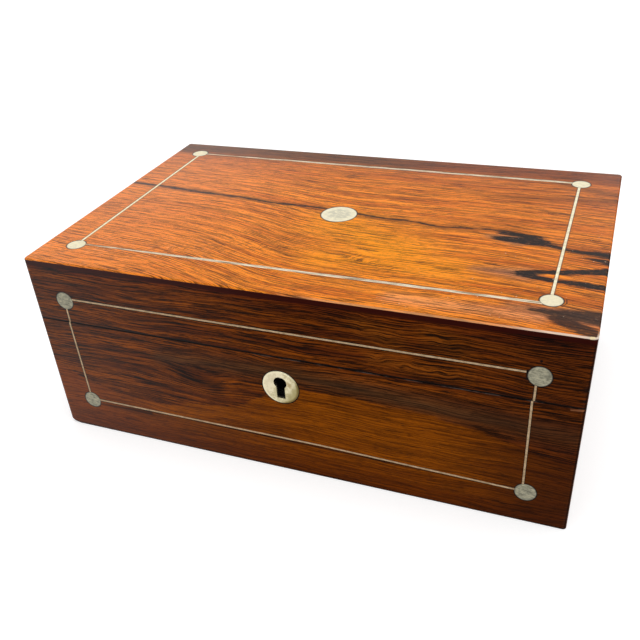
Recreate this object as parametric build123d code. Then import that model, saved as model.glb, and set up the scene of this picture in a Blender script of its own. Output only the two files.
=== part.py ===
from build123d import *
import math
import os

# A writing slope: a veneered box for paper, pens and ink that opens along a slanting joint, so
# that its base and its lid make one sloping surface to write on. Millimetres. The origin is the
# centre of the underside, +X runs along the box, the keyhole faces -Y and +Z is up.

# The case
LENGTH = 300.0
DEPTH = 190.0
HEIGHT = 115.0
FRONT_JOINT = 77.0  # height of the joint line on the keyhole face
RIM_GAP = 0.4  # between the two rims when the box is shut
BOARD = 8.0  # thickness of the carcass walls
TOP_BOARD = 7.0
BOTTOM_BOARD = 6.0
VENEER = 1.0
FACING = 1.0  # rosewood strips on the rims, as thick as the brass that is let into them
CORNER_ROUND = 2.0
EDGE_EASE = 0.7
WORN_FACETS = ((8.0, 6.0, 2.2), (4.5, 3.5, 3.9))  # how far each facet reaches from the worn corner
WORN_BLOCK = (30.0, 30.0, 10.0)  # more than either facet takes off
BAIZE = 0.8
BAIZE_STAND = 0.4  # how far the baize holds the veneer off the table
BAIZE_INSET = 1.0
DOVETAIL_SLOPE = 6.0
DOVETAIL_SHARE = 0.6  # of the pitch that a tail takes at its root
HOUSING = 2.0  # how deep a partition's ends are let into its neighbours
FIT = 0.4  # gap round a piece that lifts out

# The hinge axis lies in the joint plane, just behind the back, half way up. The lid then turns
# half a circle and lies on its own top, and the two rims share one plane.
AXIS_Y = DEPTH / 2 + 0.4
AXIS_Z = HEIGHT / 2
TILT = math.atan2(FRONT_JOINT - AXIS_Z, AXIS_Y + DEPTH / 2)

# Faces of the carcass, as distances from the middle of the box
OUT_X = LENGTH / 2 - VENEER
OUT_Y = DEPTH / 2 - VENEER
IN_X = OUT_X - BOARD
IN_Y = OUT_Y - BOARD
FLOOR = BAIZE_STAND + BOTTOM_BOARD
CEILING = HEIGHT - VENEER - TOP_BOARD
VENEER_TOP = HEIGHT - VENEER

# Inlay, let into the veneer by hand and so a little out of square. Lines lie in shallow grooves,
# and discs go through the veneer to the board.
INLAY = 0.6
ROUNDEL_R = 5.4
CENTRE_DISC_R = 10.5
CENTRE_DISC_AT = (0.6, 0.0)
LONG_LINE = 2.2  # width of the stringing along the top
CROSS_LINE = 1.4  # and of that across it
FRONT_LINE = 1.0
TOP_CORNERS = {"front_left": (-130.2, -73.0), "back_left": (-131.4, 76.5),
               "back_right": (128.0, 73.8), "front_right": (127.6, -68.0)}
TOP_LINES = [((-130.2, -71.2), (127.4, -71.2), LONG_LINE), ((-130.2, 76.6), (127.4, 75.2), LONG_LINE),
             ((-130.2, -71.2), (-130.4, 76.6), CROSS_LINE), ((127.2, -71.2), (127.4, 75.2), CROSS_LINE)]
UPPER_CORNERS = {"left": (-128.9, 91.1), "right": (128.4, 91.1)}
LOWER_CORNERS = {"left": (-128.4, 22.0), "right": (128.3, 20.1)}
UPPER_LINES = [((-129.2, 92.6), (122.3, 92.6)), ((-129.2, 92.6), (-129.2, 76.0)),
               ((127.1, 88.0), (127.0, 76.0))]
LOWER_LINES = [((-129.8, 78.0), (-128.9, 22.8)), ((126.3, 78.0), (126.7, 20.6)),
               ((-128.9, 22.8), (20.0, 22.9)), ((20.0, 22.9), (126.7, 20.6))]

# Keyhole, escutcheon and lock
KEY_X = -0.9
ESCUTCHEON_R = 10.4
ESCUTCHEON_Z = 58.0
ESCUTCHEON_PROUD = 0.2
KEYHOLE_R = 3.7
KEYHOLE_Z = 60.8
KEYHOLE_SLOT = 4.8
KEYHOLE_FOOT = 51.0
KEYHOLE_ROOM = 0.3  # how much wider the hole through the wall is than the keyhole
LOCK_PLATE = (56.0, 31.0)  # length and height of the back plate
LOCK_CASE = (44.0, 27.0)
LOCK_SHEET = 1.0
LOCK_FRONT = -OUT_Y + 1.4  # outer face of the case, just behind the veneer
LOCK_RIM = (-IN_Y - 7.0, -IN_Y)  # y range of the selvedge and of the link plate
SELVEDGE_LENGTH = 64.0
HOOK_SPACING = 22.0
HOOK_WIDTH = 3.0
HOOK_DROP = 9.0
HOOK_THICK = 2.0
HOOK_BEAK = 2.6
HOOK_Y = -90.2  # middle of the hooks
HOOK_ROOM = 0.6
HOOK_SLOT = (HOOK_Y - 1.4, HOOK_Y + 2.2)  # y range of the slots in the selvedge
BOLT_BAR = 3.6
BOLT_BEAK = 2.4
BOLT_DROP = 5.4  # from the tip of the hooks down to the foot of the bolt
BOLT_BEAK_RISE = 3.4  # from the tip of the hooks up to the underside of the bolt's beaks
BOLT_TRAVEL = 3.0
BOLT_END = 4.0  # how far the bar runs past the last hook
BOLT_GUIDE = 1.0
BOLT_GUIDE_GAP = 0.1

# Brass butt hinges
HINGE_X = 88.0
HINGE_LENGTH = 36.0
HINGE_LEAF = 8.4  # from the axis to the leaf's edge
KNUCKLE_R = 2.0
PIN_R = 0.9
PIN_CLEAR = 0.05
KNUCKLE_GAP = 0.3
KNUCKLE_ROOM = 0.4  # round a knuckle, in the walls
PIN_END_ROOM = 1.2
SCREW_R = 1.0
SCREW_HEAD_R = 1.9
SCREW_LENGTH = 6.0
SCREW_FLATS = 12
HINGE_SCREW_X = 12.0  # from the middle of a hinge
HINGE_SCREW_Y = AXIS_Y - 6.2
LOCK_SCREW_INSET = 4.0  # from the ends of the lock's plates

# Inside the base and the lid
PARTITION_Y = -52.0  # pen side of the long partition
PARTITION = 7.0
LIP = 2.0  # part of the partition that rises beside the flap
DIVIDER = 4.0
WELL_BAY = 36.0  # length of an inkwell's compartment
LEDGE = 4.0
FLAP = 5.0
FLAP_SINK = 1.0  # how far a flap lies below its rim
FLAP_SIDE = 0.6
FLAP_SEAT = 0.05
LEATHER = 0.8
LEATHER_BORDER = 10.0
LEATHER_MARGIN = 16.0  # wooden border at a flap's free edge
RAIL = 9.0  # fixed rail between a flap and the hinge wall
HINGE_SLIT = 0.5  # between a flap and its rail, where the leather bends
BASE_FREE_EDGE = PARTITION_Y + LIP + FLAP_SIDE
LID_FREE_EDGE = -IN_Y + 1.0
RAIL_Y = IN_Y - RAIL
RIBBON = (9.0, 14.0, 0.5)  # width, length and thickness
SLIDE_LENGTH = 13.0
SLIDE_FACE = 3.0  # half the width of the dovetailed slide at its face, and at its back
SLIDE_BACK = 4.0
SLIDE_DEPTH = 2.0
SLIDE_ROOM = 0.2
SLIDE_KEEP_ROOM = 0.3  # round the slide where it enters the lid's wall
NIB = (5.0, 1.2, 0.6)  # width, length and height of the thumb nib
NIB_Y = 7.0  # from the end of the slide
TRAY_TOP = 66.0
DIVIDER_RISE = 1.0
TRAY_DEPTH = 14.0
TRAY_END = 3.0
TRAY_REST = 6.0
TROUGH_WIDTH = 29.0
TROUGH_DEPTH = 10.0
BOTTLE = 32.0
BOTTLE_SHOULDER = 48.0
BOTTLE_TOP = 56.0
BOTTLE_FLOOR = 6.0
BOTTLE_CORNER = 3.0
BOTTLE_SLOPE = 3.5
NECK_R = 9.0
WELL_R = 7.4
COLLAR = 22.0  # side of the square mount round the neck
COLLAR_TONGUE = 3.0
CAP_SIDE = 23.0
CAP = 3.2
CAP_BEVEL = 2.0
CAP_GAP = 0.3  # between a cap and the mouth of its bottle
CAP_TONGUE = 1.0
CAP_HINGE_GAP = 1.7  # from the cap's edge to the axis of its hinge
CAP_KNUCKLE = 4.0
CAP_KNUCKLE_R = 1.4
CAP_PIN_R = 0.7
FROM_FOOT = (Align.CENTER, Align.CENTER, Align.MIN)


def level(height):
    """A horizontal surface, given as its height at each y."""
    return lambda y: height


def slope(offset):
    """A surface parallel to the joint plane and offset square to it, as its height at each y."""
    return lambda y: AXIS_Z + (AXIS_Y - y) * math.tan(TILT) + offset / math.cos(TILT)


BASE_RIM = slope(-RIM_GAP / 2)
LID_RIM = slope(RIM_GAP / 2)
BASE_WALL_TOP = slope(-RIM_GAP / 2 - FACING)
LID_WALL_FOOT = slope(RIM_GAP / 2 + FACING)
BASE_FLAP_TOP = -RIM_GAP / 2 - FLAP_SINK
LID_FLAP_FACE = RIM_GAP / 2 + FLAP_SINK


def outline_x(x, points):
    """A solid over the range x with one outline of (y, z) points."""
    face = Plane.YZ.offset(x[0]) * make_face(Polyline(*points, close=True))
    return extrude(face, amount=x[1] - x[0], dir=(1, 0, 0))


def prism(x, y, low, high):
    """A solid over the ranges x and y, between two surfaces."""
    return outline_x(x, [(y[0], low(y[0])), (y[1], low(y[1])), (y[1], high(y[1])), (y[0], high(y[0]))])


def block(x, y, z):
    """A box over three ranges."""
    return prism(x, y, level(z[0]), level(z[1]))


def span(side, near, far):
    """The range between two distances from the middle, on the side -1 or 1."""
    return tuple(sorted((side * near, side * far)))


def about(middle, size):
    """The range of a given size about its middle."""
    return (middle - size / 2, middle + size / 2)


def rod_x(x, y, z, radius):
    """A round bar along X over the range x."""
    return Pos(x[0], y, z) * Rot(0, 90, 0) * Cylinder(radius, x[1] - x[0], align=FROM_FOOT)


def rod_y(y, x, z, radius):
    """A round bar along Y over the range y."""
    return Pos(x, y[1], z) * Rot(90, 0, 0) * Cylinder(radius, y[1] - y[0], align=FROM_FOOT)


def rod_z(z, x, y, radius):
    """A round bar along Z over the range z."""
    return Pos(x, y, z[0]) * Cylinder(radius, z[1] - z[0], align=FROM_FOOT)


def group(solids):
    """Separate solids that share one node."""
    return Compound(children=[s for part in solids for s in part.solids()])


# --- Case ---


def envelope():
    """The outer form of the whole box, with its arrises eased."""
    form = block((-LENGTH / 2, LENGTH / 2), (-DEPTH / 2, DEPTH / 2), (0, HEIGHT))
    form = fillet(form.edges().filter_by(Axis.Z), CORNER_ROUND)
    return chamfer(form.faces().sort_by(Axis.Z)[-1].edges(), EDGE_EASE)


def tails(side, end, low, high, count):
    """The dovetails of one corner, on the end -1 (keyhole wall) or 1 (hinge wall) of a side board."""
    root, tip = end * IN_Y, end * OUT_Y
    foot = max(low(root), low(tip))
    pitch = (min(high(root), high(tip)) - foot) / count
    half_root = DOVETAIL_SHARE * pitch / 2
    half_tip = half_root + BOARD / DOVETAIL_SLOPE
    made = []
    for i in range(count):
        middle = foot + (i + 0.5) * pitch
        made.append(outline_x(span(side, IN_X, OUT_X), [
            (root, middle - half_root), (tip, middle - half_tip),
            (tip, middle + half_tip), (root, middle + half_root)]))
    return made


def walls(low, high, front_tails, back_tails):
    """The four carcass boards of one half, dovetailed together."""
    counts = {-1: front_tails, 1: back_tails}
    corners = {(side, end): tails(side, end, low, high, counts[end]) for side in (-1, 1) for end in (-1, 1)}
    boards = {}
    for name, end in (("front", -1), ("back", 1)):
        board = prism((-OUT_X, OUT_X), span(end, IN_Y, OUT_Y), low, high)
        boards[name] = board - corners[(-1, end)] - corners[(1, end)]
    for name, side in (("left", -1), ("right", 1)):
        board = prism(span(side, IN_X, OUT_X), (-IN_Y, IN_Y), low, high)
        boards[name] = board + corners[(side, -1)] + corners[(side, 1)]
    return boards


def wall_veneers(low, high, form):
    """The four veneers of one half. Those on the long faces cover the ends of the others."""
    sheets = {}
    for name, end in (("front", -1), ("back", 1)):
        sheets[name] = prism((-LENGTH / 2, LENGTH / 2), span(end, OUT_Y, DEPTH / 2), low, high) & form
    for name, side in (("left", -1), ("right", 1)):
        sheets[name] = prism(span(side, OUT_X, LENGTH / 2), (-OUT_Y, OUT_Y), low, high) & form
    return sheets


def rim_facings(low, high):
    """Four mitred strips that cover the edges of the carcass on one rim."""
    slab = prism((-OUT_X, OUT_X), (-OUT_Y, OUT_Y), low, high)
    strips = []
    for end in (-1, 1):
        strips.append([(-OUT_X, end * OUT_Y), (OUT_X, end * OUT_Y), (IN_X, end * IN_Y), (-IN_X, end * IN_Y)])
        strips.append([(end * OUT_X, -OUT_Y), (end * OUT_X, OUT_Y), (end * IN_X, IN_Y), (end * IN_X, -IN_Y)])
    return [slab & extrude(make_face(Polyline(*s, close=True)), amount=HEIGHT, dir=(0, 0, 1)) for s in strips]


def worn_corner():
    """What wear has taken off the base's lower left corner on the keyhole face, in two facets."""
    corner = Vector(-LENGTH / 2, -DEPTH / 2, 0)
    worn = []
    for along_x, along_y, up in WORN_FACETS:
        outward = Vector(-1 / along_x, -1 / along_y, -1 / up)
        facet = Plane(origin=corner + Vector(along_x, 0, 0), z_dir=outward)
        worn.append(facet * Box(*WORN_BLOCK, align=FROM_FOOT))
    return worn


# --- Inlay ---


def line_corners(start, end, width):
    """The four corners of a straight strip between two points of a face."""
    length = math.dist(start, end)
    across = (-(end[1] - start[1]) / length * width / 2, (end[0] - start[0]) / length * width / 2)
    return [(start[0] + across[0], start[1] + across[1]), (end[0] + across[0], end[1] + across[1]),
            (end[0] - across[0], end[1] - across[1]), (start[0] - across[0], start[1] - across[1])]


def top_strip(start, end, width):
    """A strip of stringing on the lid's top."""
    face = Pos(0, 0, HEIGHT - INLAY) * make_face(Polyline(*line_corners(start, end, width), close=True))
    return extrude(face, amount=INLAY, dir=(0, 0, 1))


def front_strip(start, end):
    """A strip of stringing on the keyhole face."""
    points = [(x, -DEPTH / 2, z) for x, z in line_corners(start, end, FRONT_LINE)]
    return extrude(make_face(Polyline(*points, close=True)), amount=INLAY, dir=(0, 1, 0))


def merged(strips):
    """Strips that meet end to end, as one inlaid line."""
    line = strips[0]
    for strip in strips[1:]:
        line = line + strip
    return line


def top_inlay():
    """Stringing, corner roundels and centre disc of the lid's top."""
    depth = (VENEER_TOP, HEIGHT)
    roundels = [rod_z(depth, x, y, ROUNDEL_R) for x, y in TOP_CORNERS.values()]
    disc = rod_z(depth, *CENTRE_DISC_AT, CENTRE_DISC_R)
    lines = [top_strip(*line) for line in TOP_LINES]
    return [line - roundels for line in lines], roundels, disc


def front_inlay(centres, lines, low, high):
    """Stringing and roundels of one half of the keyhole face, between two surfaces."""
    roundels = [rod_y((-DEPTH / 2, -OUT_Y), x, z, ROUNDEL_R) for x, z in centres.values()]
    half = prism((-LENGTH, LENGTH), (-DEPTH, DEPTH), low, high)
    return (merged([front_strip(*line) for line in lines]) & half) - roundels, roundels


# --- Keyhole and lock ---


def keyhole(y, spare):
    """The keyhole as a solid over the range y, with some room to spare all round."""
    barrel = rod_y(y, KEY_X, KEYHOLE_Z, KEYHOLE_R + spare)
    slot = block(about(KEY_X, KEYHOLE_SLOT + 2 * spare), y, (KEYHOLE_FOOT - spare, KEYHOLE_Z))
    return barrel + slot


def escutcheon():
    """A round plate with a bevelled edge, let into the veneer over the keyhole."""
    y = (-DEPTH / 2 - ESCUTCHEON_PROUD, -OUT_Y)
    plate = rod_y(y, KEY_X, ESCUTCHEON_Z, ESCUTCHEON_R)
    plate = chamfer(plate.faces().sort_by(Axis.Y)[0].edges(), ESCUTCHEON_PROUD + 0.1)
    return plate - keyhole(y, 0)


def hook_xs():
    """The middles of the two hooks of the link plate."""
    return [KEY_X - HOOK_SPACING / 2, KEY_X + HOOK_SPACING / 2]


def hook_tip():
    """How high the tips of the hooks hang when the box is shut."""
    return BASE_WALL_TOP(HOOK_Y) - HOOK_DROP


def rim_strip(low, high):
    """The space of the selvedge or of the link plate in its rim."""
    return prism(about(KEY_X, SELVEDGE_LENGTH), LOCK_RIM, low, high)


def selvedge():
    """The brass strip of the lock in the base's rim, with a slot for each hook of the link plate."""
    strip = rim_strip(BASE_WALL_TOP, BASE_RIM)
    for x in hook_xs():
        strip -= block(about(x, 2 * (HOOK_WIDTH + HOOK_ROOM)), HOOK_SLOT, (0, HEIGHT))
    return strip


def lock_plate():
    """The back plate of the lock, flush with the inside of the wall."""
    foot = BASE_WALL_TOP(-IN_Y) - LOCK_PLATE[1]
    return prism(about(KEY_X, LOCK_PLATE[0]), (-IN_Y - LOCK_SHEET, -IN_Y), level(foot), BASE_WALL_TOP)


def lock_space():
    """The outside of the lock's case, which is also its mortise in the wall."""
    foot = BASE_WALL_TOP(-IN_Y) - LOCK_CASE[1]
    return prism(about(KEY_X, LOCK_CASE[0]), (LOCK_FRONT, -IN_Y - LOCK_SHEET), level(foot), BASE_WALL_TOP)


def lock_case():
    """Back plate and case of the lock, open towards the selvedge, with ledges that guide the bolt."""
    foot = BASE_WALL_TOP(-IN_Y) - LOCK_CASE[1]
    half = LOCK_CASE[0] / 2 - LOCK_SHEET
    inside_y = (LOCK_FRONT + LOCK_SHEET, -IN_Y - LOCK_SHEET)
    inside = prism(about(KEY_X, 2 * half), inside_y, level(foot + LOCK_SHEET), BASE_WALL_TOP)
    case = lock_plate() + (lock_space() - inside)
    guide_top = bolt_foot() - BOLT_GUIDE_GAP
    for side in (-1, 1):
        guide_x = [KEY_X + v for v in span(side, KEYHOLE_R + 2.5, half)]
        case += block(guide_x, inside_y, (guide_top - BOLT_GUIDE, guide_top))
    return case - keyhole((LOCK_FRONT, LOCK_FRONT + LOCK_SHEET), KEYHOLE_ROOM)


def bolt_foot():
    """The height of the underside of the lock's bolt."""
    return hook_tip() - BOLT_DROP


def lock_bolt():
    """A sliding bar with two beaks that pass over the beaks of the link plate's hooks."""
    y = about(HOOK_Y, HOOK_THICK)
    foot = bolt_foot()
    beak = hook_tip() + BOLT_BEAK_RISE
    left, right = hook_xs()
    upright = HOOK_WIDTH + HOOK_ROOM + BOLT_TRAVEL  # from a hook to the near face of an upright
    bolt = block((left - upright - BOLT_BEAK, right + BOLT_END), y, (foot, foot + BOLT_BAR))
    for x in (left, right):
        bolt += block((x - upright - BOLT_BEAK, x - upright), y, (foot, beak + BOLT_BEAK))
        bolt += block((x - upright, x - HOOK_WIDTH - HOOK_ROOM), y, (beak, beak + BOLT_BEAK))
    return bolt


def link_plate():
    """The brass plate in the lid's rim, with two hooks that drop into the lock."""
    plate = rim_strip(LID_RIM, LID_WALL_FOOT)
    y = about(HOOK_Y, HOOK_THICK)
    tip = hook_tip()
    for x in hook_xs():
        plate += prism((x, x + HOOK_WIDTH), y, level(tip), slope(RIM_GAP / 2 + FACING / 2))
        plate += block(about(x, 2 * HOOK_WIDTH), y, (tip, tip + HOOK_BEAK))
    return plate


# --- Screws and hinges ---


def screw(head, inward):
    """A countersunk screw in flats, with its head flush at the point head, driven along inward."""
    sink = math.degrees(math.atan2(SCREW_HEAD_R - SCREW_R, FACING))
    body = extrude(RegularPolygon(SCREW_HEAD_R, SCREW_FLATS), amount=FACING, taper=sink)
    body += extrude(Pos(0, 0, FACING) * RegularPolygon(SCREW_R, SCREW_FLATS), amount=SCREW_LENGTH - FACING)
    return Plane(origin=head, z_dir=inward) * body


def rim_normal():
    """Unit vector square to the joint plane, towards the lid."""
    return Vector(0, math.sin(TILT), math.cos(TILT))


def rim_screws(offset, inward):
    """Screws of the hinge leaves and of the lock's plate on one rim."""
    places = [(side * HINGE_X + step, HINGE_SCREW_Y)
              for side in (-1, 1) for step in (-HINGE_SCREW_X, HINGE_SCREW_X)]
    lock_x = SELVEDGE_LENGTH / 2 - LOCK_SCREW_INSET
    places += [(KEY_X + side * lock_x, sum(LOCK_RIM) / 2) for side in (-1, 1)]
    return [screw(Vector(x, y, slope(offset)(y)), inward) for x, y in places]


def hinge_leaf(side, low, high, knuckles, bore):
    """One leaf of a butt hinge. Knuckles is the set of its knuckles, out of 0, 1 and 2."""
    x = about(side * HINGE_X, HINGE_LENGTH)
    pitch = HINGE_LENGTH / 3
    gap = KNUCKLE_GAP / 2
    leaf = prism(x, (AXIS_Y - HINGE_LEAF, AXIS_Y - KNUCKLE_R / 2), low, high)
    for i in range(3):
        ends = (x[0] + i * pitch, x[0] + (i + 1) * pitch)
        if i in knuckles:
            leaf += rod_x((ends[0] + gap * (i > 0), ends[1] - gap * (i < 2)), AXIS_Y, AXIS_Z, KNUCKLE_R)
        else:
            leaf -= rod_x((ends[0] - gap, ends[1] + gap), AXIS_Y, AXIS_Z, KNUCKLE_R + KNUCKLE_GAP)
    return leaf - rod_x(x, AXIS_Y, AXIS_Z, bore)


def hinge_pin(side):
    """The pin, driven tight into the base's knuckles and free in the lid's."""
    return rod_x(about(side * HINGE_X, HINGE_LENGTH), AXIS_Y, AXIS_Z, PIN_R)


def hinge_room():
    """The notches in the back walls that clear the knuckles and the ends of the pins."""
    length = HINGE_LENGTH + 2 * PIN_END_ROOM
    radius = KNUCKLE_R + KNUCKLE_ROOM
    return [rod_x(about(side * HINGE_X, length), AXIS_Y, AXIS_Z, radius) for side in (-1, 1)]


def leaf_seats(low, high):
    """What the hinge leaves of one rim take out of its facing."""
    return [prism(about(side * HINGE_X, HINGE_LENGTH), (AXIS_Y - HINGE_LEAF, AXIS_Y), low, high)
            for side in (-1, 1)]


# --- Flaps ---


def sheet(x, y, near, far):
    """A slab over two ranges, between two offsets from the joint plane."""
    low, high = sorted((near, far))
    return prism(x, y, slope(low), slope(high))


def flap_board(free_edge, face, back):
    """A writing flap with a recess for its leather. Face and back are offsets from the joint plane."""
    reach = IN_X - FLAP_SIDE
    board = sheet((-reach, reach), (free_edge, RAIL_Y - HINGE_SLIT), face, back)
    return board - flap_leather(free_edge, face, back)


def flap_leather(free_edge, face, back):
    """The skiver on a flap, flush with the wooden border, and cut off where the flap bends."""
    reach = IN_X - FLAP_SIDE - LEATHER_BORDER
    inner = face + math.copysign(LEATHER, back - face)
    return sheet((-reach, reach), (free_edge + LEATHER_MARGIN, RAIL_Y - HINGE_SLIT), face, inner)


def rail(face, back):
    """The fixed rail that a flap is hinged to, and the strip of leather on it."""
    inner = face + math.copysign(LEATHER, back - face)
    x, y = (-IN_X, IN_X), (RAIL_Y, IN_Y)
    return sheet(x, y, inner, back), sheet(x, y, face, inner)


def ribbon():
    """A silk tab on the base flap's free edge, to lift it by."""
    width, length, thickness = RIBBON
    return sheet(about(0, width), (BASE_FREE_EDGE, BASE_FREE_EDGE + length), BASE_FLAP_TOP,
                 BASE_FLAP_TOP + thickness)


def slide(room, travel=0.0):
    """The dovetailed bar of the flap's bolt, or with some room round it the groove that it runs in."""
    start = LID_FREE_EDGE - room
    length = (SLIDE_LENGTH + 2 * room + travel) / math.cos(TILT)
    near, far = slope(LID_FLAP_FACE)(start), slope(LID_FLAP_FACE + SLIDE_DEPTH + room)(start)
    half_face, half_back = SLIDE_FACE + room, SLIDE_BACK + room
    points = [(-half_face, start, near), (half_face, start, near),
              (half_back, start, far), (-half_back, start, far)]
    along = Vector(0, math.cos(TILT), -math.sin(TILT))
    return extrude(make_face(Polyline(*points, close=True)), amount=length, dir=along)


def flap_bolt():
    """A dovetailed brass slide with a thumb nib, let into the face of the lid's flap."""
    width, length, height = NIB
    start = LID_FREE_EDGE + NIB_Y
    return slide(0) + sheet(about(0, width), (start, start + length), LID_FLAP_FACE - height,
                            LID_FLAP_FACE + SLIDE_DEPTH / 2)


def slide_keep():
    """The way of the slide into the lid's front wall, when it is shot."""
    shot = Pos(0, -BOLT_TRAVEL * math.cos(TILT), BOLT_TRAVEL * math.sin(TILT))
    return shot * slide(SLIDE_KEEP_ROOM, BOLT_TRAVEL)


# --- Pens and ink ---


def partition():
    """The long partition. Its lip hides the flap's free edge, which rests on the ledge behind."""
    lip = slope(BASE_FLAP_TOP)
    ledge = slope(BASE_FLAP_TOP - FLAP - FLAP_SEAT)
    ends = [PARTITION_Y, PARTITION_Y + LIP, PARTITION_Y + PARTITION]
    points = [(ends[0], FLOOR), (ends[2], FLOOR), (ends[2], ledge(ends[2])), (ends[1], ledge(ends[1])),
              (ends[1], lip(ends[1])), (ends[0], lip(ends[0]))]
    return outline_x((-IN_X - HOUSING, IN_X + HOUSING), points)


def divider(side):
    """The wall between an inkwell and the pen tray, let into the case and the long partition."""
    near = IN_X - WELL_BAY - DIVIDER
    y = (-IN_Y - HOUSING, PARTITION_Y + HOUSING)
    return block(span(side, near, near + DIVIDER), y, (FLOOR, TRAY_TOP + DIVIDER_RISE))


def pen_tray():
    """A lift-out tray with a round trough for pens that rises in a cove at each end."""
    reach = IN_X - WELL_BAY - DIVIDER - FIT
    y = (-IN_Y + FIT, PARTITION_Y - FIT)
    tray = block((-reach, reach), y, (TRAY_TOP - TRAY_DEPTH, TRAY_TOP))
    radius = (TROUGH_DEPTH ** 2 + (TROUGH_WIDTH / 2) ** 2) / (2 * TROUGH_DEPTH)
    trough = rod_x((-reach, reach), sum(y) / 2, TRAY_TOP - TROUGH_DEPTH + radius, radius)
    level_floor = reach - TRAY_END - TROUGH_DEPTH
    coved = block((-level_floor, level_floor), y, (TRAY_TOP - TROUGH_DEPTH, TRAY_TOP))
    for side in (-1, 1):
        coved += rod_y(y, side * level_floor, TRAY_TOP, TROUGH_DEPTH)
    return tray - (trough & coved)


def tray_rest(side):
    """The block under one end of the pen tray."""
    end = IN_X - WELL_BAY - DIVIDER
    return block(span(side, end - TRAY_REST, end), (-IN_Y, PARTITION_Y), (FLOOR, TRAY_TOP - TRAY_DEPTH))


def flap_ledges(near, far, y):
    """The ledges along both side walls that stop a flap."""
    return [sheet(span(side, IN_X - LEDGE, IN_X), y, near, far) for side in (-1, 1)]


def well_centre(side):
    """The x and y of the middle of an inkwell."""
    return side * (IN_X - WELL_BAY / 2), (PARTITION_Y - IN_Y) / 2


def inkwell(side):
    """A square glass bottle with cut corners, a sloping shoulder and a pressed round well."""
    x, y = well_centre(side)
    body = block(about(x, BOTTLE), about(y, BOTTLE), (FLOOR, BOTTLE_SHOULDER))
    body = chamfer(body.edges().filter_by(Axis.Z), BOTTLE_CORNER)
    body = chamfer(body.faces().sort_by(Axis.Z)[-1].edges(), BOTTLE_SLOPE)
    body += rod_z((BOTTLE_SHOULDER, BOTTLE_TOP), x, y, NECK_R)
    return body - rod_z((FLOOR + BOTTLE_FLOOR, BOTTLE_TOP), x, y, WELL_R)


def cap_axis():
    """The y and z of the hinge of both inkwell caps, on the keyhole side of the bottles."""
    return well_centre(1)[1] - CAP_SIDE / 2 - CAP_HINGE_GAP, BOTTLE_TOP


def cut_square(side, width, z):
    """A square block over a bottle's middle, with its corners cut like the bottle's."""
    x, y = well_centre(side)
    square = block(about(x, width), about(y, width), z)
    return chamfer(square.edges().filter_by(Axis.Z), BOTTLE_CORNER)


def inkwell(side):
    """A square glass bottle with cut corners, a sloping shoulder and a pressed round well."""
    x, y = well_centre(side)
    body = cut_square(side, BOTTLE, (FLOOR, BOTTLE_SHOULDER))
    body = chamfer(body.faces().sort_by(Axis.Z)[-1].edges(), BOTTLE_SLOPE)
    body += rod_z((BOTTLE_SHOULDER, BOTTLE_TOP), x, y, NECK_R)
    return body - rod_z((FLOOR + BOTTLE_FLOOR, BOTTLE_TOP), x, y, WELL_R)


def collar(side):
    """The brass mount round a bottle's neck, with one hinge knuckle and the pin riveted into it."""
    x, y = well_centre(side)
    knuckle = (x - CAP_KNUCKLE, x)
    mount = cut_square(side, COLLAR, (BOTTLE_SHOULDER, BOTTLE_TOP))
    mount += block(knuckle, (cap_axis()[0], y), (BOTTLE_TOP - COLLAR_TONGUE, BOTTLE_TOP))
    mount += rod_x(knuckle, *cap_axis(), CAP_KNUCKLE_R)
    mount += rod_x((x, x + KNUCKLE_GAP + CAP_KNUCKLE), *cap_axis(), CAP_PIN_R)
    return mount - rod_z((BOTTLE_SHOULDER, HEIGHT), x, y, NECK_R)


def cap(side):
    """A square brass cap with a bevelled crown and one hinge knuckle."""
    x, y = well_centre(side)
    knuckle = (x + KNUCKLE_GAP, x + KNUCKLE_GAP + CAP_KNUCKLE)
    foot = BOTTLE_TOP + CAP_GAP
    lid = cut_square(side, CAP_SIDE, (foot, foot + CAP))
    lid = chamfer(lid.faces().sort_by(Axis.Z)[-1].edges(), CAP_BEVEL)
    lid += block(knuckle, (cap_axis()[0], y), (foot, foot + CAP_TONGUE))
    lid += rod_x(knuckle, *cap_axis(), CAP_KNUCKLE_R)
    return lid - rod_x(knuckle, *cap_axis(), CAP_PIN_R + PIN_CLEAR)


# --- The whole ---


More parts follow.
